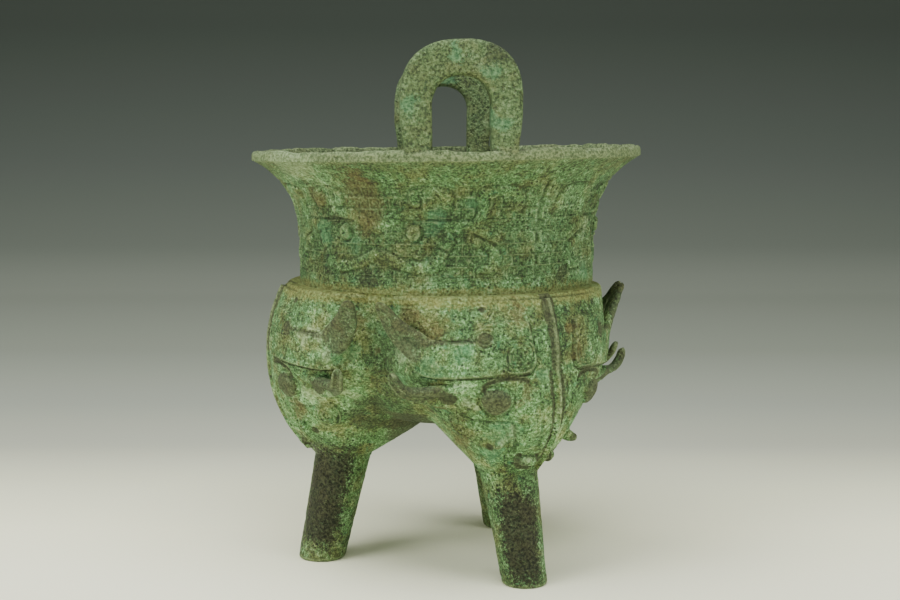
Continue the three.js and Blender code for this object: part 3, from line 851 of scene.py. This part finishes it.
def arch(half_width, top, squareness, share):
    """An upright leg, an arch and the other leg, from one root to the other."""
    leg_share = 0.2
    spring = top - half_width
    angle = np.clip((share - leg_share) / (1 - 2 * leg_share), 0, 1) * math.pi
    x = squared(np.cos(angle), squareness) * half_width
    z = spring + squared(np.sin(angle).clip(0), squareness) * half_width
    straight = np.minimum(share, 1 - share) / leg_share
    z = np.where(straight < 1, blend(RIM_HEIGHT - HANDLE_ROOT, spring, np.clip(straight, 0, 1)), z)
    return x, z


def handle(azimuth):
    top = RIM_HEIGHT + HANDLE_RISE

    def place(angle, share):
        even = share + 0.03 * np.sin(4 * math.pi * share)
        outer_x, outer_z = arch(HANDLE_WIDTH / 2, top, 2.5, even)
        inner_x, inner_z = arch(HANDLE_OPENING / 2, top - HANDLE_BAR, 2.1, even)
        out = 0.5 + 0.5 * squared(np.cos(angle), 6)
        depth = squared(np.sin(angle), 6) * HANDLE_THICKNESS / 2
        # The legs draw in a little towards the rim
        outer_x = outer_x * (1 - 0.06 * ease(outer_z, RIM_HEIGHT + 13, RIM_HEIGHT))
        middle = RIM_RADIUS - HANDLE_SETBACK - HANDLE_THICKNESS / 2
        return np.stack([middle + depth, blend(inner_x, outer_x, out), blend(inner_z, outer_z, out)], 1)

    made = moulded("handle", 64, 150, place)
    points = points_of(made.data)
    # The roots stay inside the flare
    limit = np.where(points[:, 2] < RIM_HEIGHT - 0.5, neck_radius(points[:, 2]) - 0.9, 1e3)
    points[:, :2] *= np.minimum(1, limit / from_axis(points))[:, None]
    place_points(made.data, points)
    return turn_to(made, azimuth)


def turn_to(made, azimuth):
    made.data.transform(Matrix.Rotation(math.radians(azimuth - 90), 4, "Z"))
    return made


# Corrosion, lean, wear and painted shade, worked out on the finished surface
def outer_normals(mesh, skip):
    """Normals of the points, left out of faces that the test skips."""
    mesh.calc_loop_triangles()
    corners = np.empty(len(mesh.loop_triangles) * 3, np.int32)
    mesh.loop_triangles.foreach_get("vertices", corners)
    corners = corners.reshape(-1, 3)
    points = points_of(mesh)
    a, b, c = (points[corners[:, i]] for i in range(3))
    facing = np.cross(b - a, c - a)
    facing[skip(a, b, c)] = 0
    normals = np.zeros_like(points)
    for i in range(3):
        np.add.at(normals, corners[:, i], facing)
    return normals / np.maximum(np.linalg.norm(normals, axis=1, keepdims=True), 1e-9)


def bulge(mesh, points, normals, rounds=8):
    """How far each place stands out from its smoothed surroundings, in millimetres."""
    pairs = np.empty(len(mesh.edges) * 2, np.int32)
    mesh.edges.foreach_get("vertices", pairs)
    a, b = pairs.reshape(-1, 2).T
    ends = np.concatenate([a, b])
    count = np.maximum(np.bincount(ends, minlength=len(points)), 1)
    soft = points.copy()
    for _ in range(rounds):
        others = np.concatenate([soft[b], soft[a]])
        sums = [np.bincount(ends, others[:, i], len(points)) for i in range(3)]
        soft = 0.5 * soft + 0.5 * np.stack(sums, 1) / count[:, None]
    return np.sum((points - soft) * normals, axis=1)


def near(points, azimuth, height, radius, squash=1.0):
    """How close each place is to a spot on the vessel, from 1 to 0 at the given radius."""
    away = turn_between(azimuth, azimuth_of(points[:, 0], points[:, 1]))
    round_way = np.radians(away) * from_axis(points)
    return np.clip(1 - np.hypot(round_way, (points[:, 2] - height) * squash) / radius, 0, 1)


def mark(mesh, name, values):
    layer = mesh.attributes.new(name, "FLOAT", "POINT")
    layer.data.foreach_set("value", np.ascontiguousarray(values, np.float32))


def lean(points):
    share = np.clip((points[:, 2] - SHOULDER_HEIGHT) / (RIM_HEIGHT - SHOULDER_HEIGHT), 0, 1)
    points[:, 2] += points[:, 0] * math.tan(math.radians(MOUTH_LEAN)) * share
    return points


# Places where the colour changes: (azimuth, height, radius, squash)
PATCHES = {
    "rust": (
        (-29, 159.5, 14, 0.6), (-50, 160.5, 8, 1), (-12, 114, 8, 1), (-6, 107, 7, 1),
        (-36, 111, 8, 1), (24, 116.5, 6, 1), (-1.5, 76.5, 3, 1), (-67, 69, 7, 1), (45, 98, 6, 1),
        (43, 108, 5, 1), (24.5, 83, 7, 1), (-28, 96.7, 3, 1), (8, 60, 6, 1.2), (140, 150, 16, 1),
        (200, 100, 14, 1), (-120, 140, 12, 1), (95, 140, 9, 1), (170, 60, 9, 1)),
    "pale": (
        (-52, 103, 6, 1.3), (-47.5, 104, 5, 1.5), (-42.7, 98, 4, 0.45), (-44, 79, 4, 1),
        (-58, 79.5, 5, 1), (-53, 81, 6, 1), (22.5, 65.3, 3.5, 1), (31.3, 55.5, 3, 1),
        (37.6, 82, 5, 0.35), (8.7, 79.5, 5, 1), (63, 147.4, 6, 0.8), (-14, 99, 8, 1),
        # The wide patch at (-50, 176) on the left of the lip is partly pale patina, partly a painted
        # highlight where the light falls
        (-50, 176, 24, 2), (178, 110, 8, 1), (120, 90, 6, 1)),
    "turquoise": (
        (3, 215, 6, 1), (12, 208, 5, 1), (-9, 198, 6, 1), (14, 190, 5, 1), (-50, 146, 9, 1),
        (-36, 142, 6, 1), (-5, 150, 7, 1), (8, 158, 5, 1), (-39.7, 98.5, 10, 1), (-11.6, 101, 9, 1),
        (-18, 85, 6, 1), (19.6, 56.5, 7, 1), (20, 67, 10, 1.3), (30.8, 90, 5, 1), (-5, 93, 9, 1.4),
        (6, 100, 9, 1.4), (66, 130, 8, 1), (182, 212, 8, 1), (155, 80, 14, 1), (-130, 90, 10, 1)),
    "dark": (
        (-43, 150.5, 9, 2.2), (-48, 65.5, 9, 1), (-40, 73, 8, 1), (-38, 110, 5, 1),
        (47, 128, 6, 1.4), (-30, 128, 8, 2.2), (13, 214, 7, 1), (-33, 60, 9, 1), (230, 140, 12, 1),
        (100, 70, 9, 1)),
}
# Dark bare bronze on each leg: direction and half width in degrees, lowest and highest part
BARE_PLACES = ((-24, 50, 7, 52), (10, 46, 2, 40), (165, 48, 6, 40))


def bare_bronze(points):
    total = np.zeros(len(points))
    height = points[:, 2]
    for azimuth, (facing, half_width, low, high) in zip(LOBE_AZIMUTHS, BARE_PLACES):
        turn = math.radians(azimuth)
        reach = blend(FOOT_REACH, LEG_TOP_REACH, height / LEG_TOP)
        x = points[:, 0] - reach * math.sin(turn)
        y = points[:, 1] + reach * math.cos(turn)
        away = np.abs(turn_between(facing, azimuth_of(x, y)))
        patch = smooth((half_width - away) / 46 + 0.5) * smooth((high - height) / 22 + 0.5)
        patch *= smooth((height - low) / 14 + 0.5) * (np.hypot(x, y) < 22)
        total = np.maximum(total, patch)
    return total


def mask_place(points, lobe):
    """How far each point of a lobe lies on a free horn, ear or fang, and its place on the mask."""
    turn = math.radians(LOBE_AZIMUTHS[lobe])
    x = points[:, 0] * math.sin(turn) - points[:, 1] * math.cos(turn)
    y = points[:, 0] * math.cos(turn) + points[:, 1] * math.sin(turn)
    centre, front, back, half_width = lobe_section(points[:, 2])
    rise = points[:, 2] - BELLY_HEIGHT
    lift = (np.hypot(y / half_width, (x - centre) / front) - 1) * np.minimum(front, half_width)
    outside_body = np.where(points[:, 2] > 70, ease(np.hypot(x, y), 66, 68.5), 1)
    free = ease(lift, 1.6, 4) * outside_body * (points[:, 2] > LEG_TOP + 6)
    return free, mask_turn(np.degrees(np.arctan2(y / half_width, (x - centre) / front)), rise, lobe), rise


def crease_planes(lobe):
    """Directions square to the two upright planes where a lobe's piece meets the next ones."""
    angles = [math.radians(LOBE_AZIMUTHS[lobe] + crease) for crease in creases(lobe)]
    return [np.array([math.cos(angle), math.sin(angle), 0]) for angle in angles]


def worn_lip(points, moved):
    """Lowers the lip in waves, with chips that are deepest on the right."""
    turn, height = azimuth_of(points[:, 0], points[:, 1]), points[:, 2]
    level = points * (1, 1, 0)
    rim = ease(height, 174, 177) * (from_axis(points) > 76) * (height < RIM_HEIGHT + 0.1)
    ripple = 0.4 * lumps(level, 13, 21) + 0.45 * lumps(level, 5, 22)
    worn = ease(turn, 15, 35) * ease(turn, 110, 90)
    chips = np.clip(lumps(level, 3.6, 23) - 0.15, 0, 1) * 1.9 * (0.25 + worn)
    moved[:, 2] -= rim * (0.3 + ripple + chips)


# How close in millimetres a point lies to a plane that it is on
TOUCH = 2e-3


def weather(made, lobe=None):
    """Moves the surface by the corrosion and marks where each colour of patina lies, and where shade is
    painted.
    """
    mesh = made.data
    points = points_of(mesh)
    height = points[:, 2]
    planes = [] if lobe is None else crease_planes(lobe)
    from_shoulder = np.abs(height - SHOULDER_HEIGHT)

    def hidden(a, b, c):
        flat = np.zeros(len(a), bool)
        for plane in planes:
            flat |= np.all([np.abs(p @ plane) < TOUCH for p in (a, b, c)], axis=0)
        return flat

    normals = outer_normals(mesh, hidden)
    for plane in planes:
        on_plane = np.abs(points @ plane) < TOUCH
        normals[on_plane] -= np.outer(normals[on_plane] @ plane, plane)
    normals[from_shoulder < TOUCH, 2] = 0
    out = bulge(mesh, points, normals) * smooth(from_shoulder / 1.2)
    for plane in planes:
        out *= smooth(np.abs(points @ plane) / 1.4)
    radius = from_axis(points)
    amount = corrosion(points) * ease(height, 0, 1.5) * np.where(radius < 30, 0.6, 1)
    moved = points + normals * amount[:, None]
    moved[:, 2] = np.maximum(moved[:, 2], 0)
    if lobe is None:
        worn_lip(points, moved)
        place = from_seam(points), height - SHOULDER_HEIGHT
        carved = radius > NECK_RADIUS - 2
        cut, stained = (np.where(carved, read_sheet(BAND, layer, *place), 0) for layer in (CUT, STAIN))
    else:
        free, *place = mask_place(points, lobe)
        cut, stained = (read_sheet(MASK, layer, *place) for layer in (CUT, STAIN))
        # The free horns, ears and fangs are darkened: partly their brown patina, partly painted shade on
        # their faces
        stained = np.maximum(stained, 0.8 * free)
    place_points(mesh, lean(moved))
    # Painted shade: the lobes are darkened beside the planes where they meet, in the gaps between them
    crease = np.zeros(len(points))
    for plane in planes:
        beside = ease(np.abs(points @ plane), 12, 2) * ease(radius, 69, 63)
        between = ease(height, 120, 106) * ease(height, 56, 66)
        crease = np.maximum(crease, 0.7 * beside * between)
    mark(mesh, "hollow_grime_and_crease_shade", np.clip(np.max([0.7 * cut, ease(-out, 0.06, 0.36), crease], axis=0), 0, 1))
    mark(mesh, "edge", ease(out, 0.06, 0.31))
    mark(mesh, "brown", stained)
    mark(mesh, "bare", bare_bronze(points))
    ragged = points + np.stack([3.2 * lumps(points, 7, 31 + i) + 1.6 * lumps(points, 2.6, 41 + i)
                                for i in range(3)], 1)
    for name, places in PATCHES.items():
        shares = [smooth(1.15 * near(ragged, *spot)) for spot in places]
        if name == "dark":
            # Darker on the legs, below the lobes
            shares.append(0.45 * ease(height, 47, 37))
        mark(mesh, name, np.max(shares, axis=0))
    lip = ease(height, 173.6, 175.1) * (height < RIM_HEIGHT + 0.5) * (radius > 78)
    base = ease(height, 127, 122) * ease(height, 115, 120)
    foot = ease(height, 9, 2)
    mark(mesh, "lip", lip)
    # Painted shade over the upper flare, lip and handles, rising from 160 mm to full at 185 mm, which also
    # makes them more olive
    mark(mesh, "handle", ease(height, 160, 185))
    mark(mesh, "ochre", np.max([base * 0.8, foot * 0.35], axis=0))


# Materials
def feed(tree, socket, value):
    """Links a socket to another node, or sets it to a number or a colour."""
    if isinstance(value, tuple):
        socket.default_value = (*value, 1)
    elif isinstance(value, (int, float)):
        socket.default_value = value
    else:
        tree.links.new(value, socket)


def node(tree, kind, sockets=None, **settings):
    """A node with its settings, and with what goes into its sockets."""
    made = tree.nodes.new(kind)
    for name, value in settings.items():
        setattr(made, name, value)
    for name, value in (sockets or {}).items():
        feed(tree, made.inputs[name], value)
    return made


def noise_node(tree, vector, scale, detail, roughness):
    sockets = {"Vector": vector, "Scale": scale, "Detail": detail, "Roughness": roughness}
    return node(tree, "ShaderNodeTexNoise", sockets).outputs["Fac"]


def ramp(tree, value, stops):
    made = node(tree, "ShaderNodeValToRGB", {"Fac": value})
    points = made.color_ramp.elements
    while len(points) < len(stops):
        points.new(0.5)
    for point, (place, colour) in zip(points, stops):
        point.position = place
        point.color = (*colour, 1)
    return made.outputs["Color"]


def fade(tree, value, low, high, top=1.0):
    """Grey from black at low to the top at high."""
    return ramp(tree, value, ((low, (0, 0, 0)), (high, (top,) * 3)))


def tones(tree, value, stops):
    """A ramp between colours given by their screen values."""
    return ramp(tree, value, [(place, linear(*tone)) for place, tone in stops])


def ranged(tree, value, low, high, start=0, end=1, kind="LINEAR"):
    """From start to end as the value goes from low to high."""
    sockets = {"Value": value, "From Min": low, "From Max": high, "To Min": start, "To Max": end}
    return node(tree, "ShaderNodeMapRange", sockets, interpolation_type=kind).outputs["Result"]


def math_node(tree, kind, a, b, clamp=False):
    return node(tree, "ShaderNodeMath", {0: a, 1: b}, operation=kind, use_clamp=clamp).outputs[0]


def times(tree, a, b, clamp=False):
    return math_node(tree, "MULTIPLY", a, b, clamp)


def plus(tree, *values):
    total = values[-1]
    for value in reversed(values[:-1]):
        total = math_node(tree, "ADD", value, total)
    return total


def mix_colour(tree, share, a, b, kind="MIX"):
    sockets = {"Factor": share, 6: a, 7: b}
    return node(tree, "ShaderNodeMix", sockets, data_type="RGBA", blend_type=kind).outputs[2]


def attribute(tree, name):
    return node(tree, "ShaderNodeAttribute", attribute_name=name).outputs["Fac"]


def linear(red, green, blue):
    """A colour given by its screen values from 0 to 255."""
    return tuple(((c / 255 + 0.055) / 1.055) ** 2.4 for c in (red, green, blue))


def spread(tree, mask, noise):
    """Breaks a mask up into flecks, which crowd together where it is strongest."""
    ragged = plus(tree, times(tree, mask, 1.1), times(tree, math_node(tree, "SUBTRACT", noise, 0.5), 3.0))
    flecks = ranged(tree, ragged, 0.2, 0.85, kind="SMOOTHSTEP")
    return times(tree, flecks, times(tree, mask, 5.0, clamp=True))


def group(name, inputs, outputs):
    """An empty node group, with its colour, number and vector sockets."""
    tree = bpy.data.node_groups.new(name, "ShaderNodeTree")
    for way, labels in (("INPUT", inputs), ("OUTPUT", outputs)):
        for label, kind in labels:
            tree.interface.new_socket(name=label, in_out=way, socket_type="NodeSocket" + kind)
    return tree, tree.nodes.new("NodeGroupInput"), tree.nodes.new("NodeGroupOutput")


def malachite_skin():
    """Mottled green patina with fine dark pits, olive clouds and flecks of other colours."""
    tree, given, out = group("malachite skin", [("Vector", "Vector")],
                             [("Color", "Color"), ("Height", "Float"), ("Mottle", "Float")])
    vector = given.outputs["Vector"]
    broad = noise_node(tree, vector, 34, 5, 0.65)
    medium = noise_node(tree, vector, 260, 4, 0.62)
    fine = noise_node(tree, vector, 900, 3, 0.65)
    grain = noise_node(tree, vector, 2300, 2, 0.6)
    value = plus(tree, times(tree, broad, 0.24), times(tree, medium, 0.2), times(tree, fine, 0.32),
                 times(tree, grain, 0.24))
    greens = tones(tree, value, ((0.42, (34, 46, 28)), (0.46, (64, 88, 50)), (0.492, (92, 122, 74)),
                                 (0.524, (114, 148, 94)), (0.555, (148, 180, 128)), (0.60, (194, 212, 170))))
    olives = tones(tree, value, ((0.42, (44, 42, 24)), (0.47, (92, 92, 50)), (0.52, (126, 126, 74)),
                                 (0.58, (176, 170, 118))))
    clouds = fade(tree, noise_node(tree, vector, 85, 5, 0.66), 0.46, 0.62, 0.85)
    colour = mix_colour(tree, clouds, greens, olives)
    # Flecks: scale of the noise, where it starts and ends, share and colour
    for scale, low, high, share, tone in (
            (230, 0.60, 0.68, 0.45, (84, 146, 106)), (340, 0.64, 0.70, 0.3, (124, 104, 60)),
            (520, 0.66, 0.71, 0.6, (190, 198, 160)), (150, 0.60, 0.72, 0.55, (60, 62, 38))):
        fleck = fade(tree, noise_node(tree, vector, scale, 4, 0.65), low, high, share)
        colour = mix_colour(tree, fleck, colour, linear(*tone))
    cells = node(tree, "ShaderNodeTexVoronoi", {"Vector": vector, "Scale": 560, "Randomness": 1},
                 feature="F1")
    hole = ranged(tree, cells.outputs["Distance"], 0.16, 0.38, 1, 0)
    crowd = fade(tree, noise_node(tree, vector, 260, 3, 0.6), 0.42, 0.60)
    pit = times(tree, hole, crowd, clamp=True)
    colour = mix_colour(tree, times(tree, pit, 0.85), colour, linear(32, 40, 24))
    height = math_node(tree, "SUBTRACT",
                       plus(tree, times(tree, fine, 0.8), medium, times(tree, grain, 0.4)), pit)
    for label, made in (("Color", colour), ("Height", height), ("Mottle", medium)):
        feed(tree, out.inputs[label], made)
    return tree


def deposit():
    """Lays a patch of another colour over the patina, where a mask says, with a broken edge."""
    tree, given, out = group("deposit", [("Color", "Color"), ("Mask", "Float"), ("Dark", "Color"),
                                         ("Light", "Color"), ("Vector", "Vector"), ("Strength", "Float")],
                             [("Color", "Color"), ("Share", "Float")])
    vector = given.outputs["Vector"]
    edge = plus(tree, times(tree, noise_node(tree, vector, 300, 4, 0.7), 0.5),
                times(tree, noise_node(tree, vector, 1200, 3, 0.7), 0.5))
    share = times(tree, spread(tree, given.outputs["Mask"], edge), given.outputs["Strength"])
    tone = fade(tree, noise_node(tree, vector, 900, 3, 0.7), 0.40, 0.60)
    patch = mix_colour(tree, tone, given.outputs["Dark"], given.outputs["Light"])
    feed(tree, out.inputs["Color"], mix_colour(tree, share, given.outputs["Color"], patch))
    feed(tree, out.inputs["Share"], share)
    return tree


def new_material(name):
    material = bpy.data.materials.new(name)
    material.use_nodes = True
    return material, material.node_tree, material.node_tree.nodes["Principled BSDF"].inputs


def patinated_bronze(name, tint, deposits):
    """Patina with the given layers of colour over it, all a little toned by the tint, which also paints
    shade where it is darker.
    """
    material, tree, shader = new_material(name)
    vector = node(tree, "ShaderNodeTexCoord").outputs["Object"]
    skin = node(tree, "ShaderNodeGroup", {"Vector": vector}, node_tree=SKIN)
    colour = skin.outputs["Color"]
    shares = {}
    for mask, dark, light, strength in deposits:
        layer = node(tree, "ShaderNodeGroup", {
            "Color": colour, "Mask": attribute(tree, mask), "Vector": vector, "Dark": linear(*dark),
            "Light": linear(*light), "Strength": strength}, node_tree=DEPOSIT)
        colour = layer.outputs["Color"]
        shares[mask] = layer.outputs["Share"]
    toned = mix_colour(tree, 1.0, colour, tint, "MULTIPLY")
    # Darkens towards the recess colour: grime in cut lines and hollows, and painted shade in the gaps
    # between the lobes
    grime_and_shade = times(tree, attribute(tree, "hollow_grime_and_crease_shade"), 0.7)
    feed(tree, shader["Base Color"], mix_colour(tree, grime_and_shade, toned, linear(42, 50, 28)))
    rough = plus(tree, 0.62, times(tree, skin.outputs["Mottle"], 0.3))
    if "bare" in shares:
        rough = math_node(tree, "SUBTRACT", rough, times(tree, shares["bare"], 0.32))
        feed(tree, shader["Metallic"], times(tree, shares["bare"], 0.5))
    feed(tree, shader["Roughness"], rough)
    feed(tree, shader["Specular IOR Level"], 0.35)
    bump = node(tree, "ShaderNodeBump",
                {"Strength": 1.0, "Distance": 0.0006, "Height": skin.outputs["Height"]})
    feed(tree, shader["Normal"], bump.outputs["Normal"])
    return material


SKIN = malachite_skin()
DEPOSIT = deposit()
# Each layer: its mask, its dark and light colours, and its strength
OCHRE = ("ochre", (112, 104, 52), (164, 154, 92), 0.7)
RUST = ("rust", (84, 66, 38), (128, 104, 64), 0.55)
TURQUOISE = ("turquoise", (70, 122, 84), (112, 164, 120), 0.45)
PALE = ("pale", (128, 142, 98), (190, 196, 156), 0.55)
DARK = ("dark", (40, 44, 28), (78, 80, 50), 0.7)
# Brown in the carved lines, also laid over the free horns, ears and fangs as painted shade
BROWN = ("brown", (54, 52, 36), (88, 86, 60), 0.85)
EDGE = ("edge", (118, 130, 86), (168, 172, 128), 0.45)
LIP = ("lip", (58, 64, 40), (150, 150, 110), 0.5)
# Olive patina, darkened as painted shade over the top of the vessel
HANDLE_OLIVE_AND_SHADE = ("handle", (60, 66, 40), (116, 120, 78), 0.7)
BARE = ("bare", (26, 24, 19), (68, 62, 45), 0.92)
# The neck's tint is darker than the lobes': painted shade over the neck, flare, lip and handles
neck_finish = patinated_bronze("patina of the neck and handles", (0.67, 0.81, 0.76),
                               (OCHRE, HANDLE_OLIVE_AND_SHADE, RUST, TURQUOISE, LIP, PALE, DARK, EDGE))
lobe_finish = patinated_bronze("patina of the lobes and legs", (0.82, 0.98, 0.91),
                               (OCHRE, RUST, TURQUOISE, PALE, DARK, BROWN, EDGE, BARE))


def finish(made, material):
    made.data.materials.clear()
    made.data.materials.append(material)
    made.data.transform(Matrix.Scale(METRES, 4))
    made.data.polygons.foreach_set("use_smooth", [True] * len(made.data.polygons))
    made.data.set_sharp_from_angle(angle=math.radians(50))
    made.data.update()
    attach(made, "root")
    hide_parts(NODE)


neck = neck_casting()
weather(neck)
finish(neck, neck_finish)
for lobe, side in enumerate(("left", "front", "rear")):
    casting = lobe_casting(lobe)
    casting.name = side + "_lobe_and_leg"
    turn_to(casting, LOBE_AZIMUTHS[lobe])
    weather(casting, lobe)
    finish(casting, lobe_finish)


# Floor and backdrop in one sweep
def sweep():
    shape = bmesh.new()
    curve = [(-1.6, 0), (1.0, 0)]
    curve += [(1.0 + 0.7 * math.sin(a), 0.7 - 0.7 * math.cos(a)) for a in np.radians(np.arange(6, 91, 6))]
    curve += [(1.7, 2.6)]
    corners = [shape.verts.new((-3.2, y, z)) for y, z in curve]
    edges = [shape.edges.new(pair) for pair in zip(corners, corners[1:])]
    drawn = bmesh.ops.extrude_edge_only(shape, edges=edges)["geom"]
    move_points(shape, drawn, (6.4, 0, 0))
    made = piece("studio_sweep", shape)
    if made.data.polygons[0].normal.z < 0:
        made.data.flip_normals()
    made.data.polygons.foreach_set("use_smooth", [True] * len(made.data.polygons))
    return made


def sweep_finish():
    """Paper painted darker from the front of the floor to the top of the backdrop: painted shade where the
    light falls off.
    """
    material, tree, shader = new_material("studio paper")
    place = node(tree, "ShaderNodeTexCoord").outputs["Object"]
    apart = node(tree, "ShaderNodeSeparateXYZ", {"Vector": place}).outputs
    depth = ranged(tree, plus(tree, apart["Y"], times(tree, apart["Z"], 1.2)), -0.1, 3.2)
    # Painted shade: the tone falls from the bright front of the floor to the dark top of the backdrop
    tone = tones(tree, depth, ((0.017, (255, 255, 226)), (0.042, (255, 255, 222)), (0.066, (232, 234, 204)),
                               (0.099, (178, 181, 164)), (0.139, (158, 163, 150)), (0.215, (143, 149, 136)),
                               (0.35, (147, 153, 141)), (0.379, (139, 145, 134)), (0.419, (119, 126, 116)),
                               (0.518, (97, 104, 97)), (0.638, (73, 80, 73))))
    grain = ramp(tree, noise_node(tree, place, 900, 2, 0.5), ((0.3, (0.97, 0.97, 0.97)), (0.7, (1, 1, 1))))
    feed(tree, shader["Base Color"], mix_colour(tree, 1.0, tone, grain, "MULTIPLY"))
    feed(tree, shader["Roughness"], 0.9)
    feed(tree, shader["Specular IOR Level"], 0.1)
    return material


floor = sweep()
floor.data.materials.append(sweep_finish())


# Soft studio light
def softbox(name, place, target, size, power):
    light = bpy.data.lights.new(name, "AREA")
    light.shape = "RECTANGLE"
    light.size, light.size_y = size
    light.energy = power
    lamp = bpy.data.objects.new(name, light)
    lamp.location = place
    lamp.rotation_euler = (Vector(target) - Vector(place)).to_track_quat("-Z", "Y").to_euler()
    bpy.context.scene.collection.objects.link(lamp)


softbox("overhead softbox", (-0.15, -0.25, 1.25), (0, 0, 0.1), (1.3, 1.0), 24)
softbox("left softbox", (-1.1, -0.8, 0.75), (0, 0, 0.12), (0.8, 0.9), 13)
softbox("right softbox", (1.15, -0.7, 0.6), (0, 0, 0.12), (0.8, 0.8), 9.5)

world = bpy.data.worlds.new("studio")
bpy.context.scene.world = world
world.use_nodes = True
background = world.node_tree.nodes["Background"].inputs
background["Color"].default_value = (*linear(176, 182, 172), 1)
background["Strength"].default_value = 0.5

# Camera
camera_data = bpy.data.cameras.new("camera")
camera_data.lens = 60
camera_data.sensor_width = 36
camera = bpy.data.objects.new("camera", camera_data)
camera.location = (0.00169, -0.6485, 0.1872)
camera.rotation_euler = (math.radians(90 - 6.535), 0, 0)
bpy.context.scene.collection.objects.link(camera)
bpy.context.scene.camera = camera
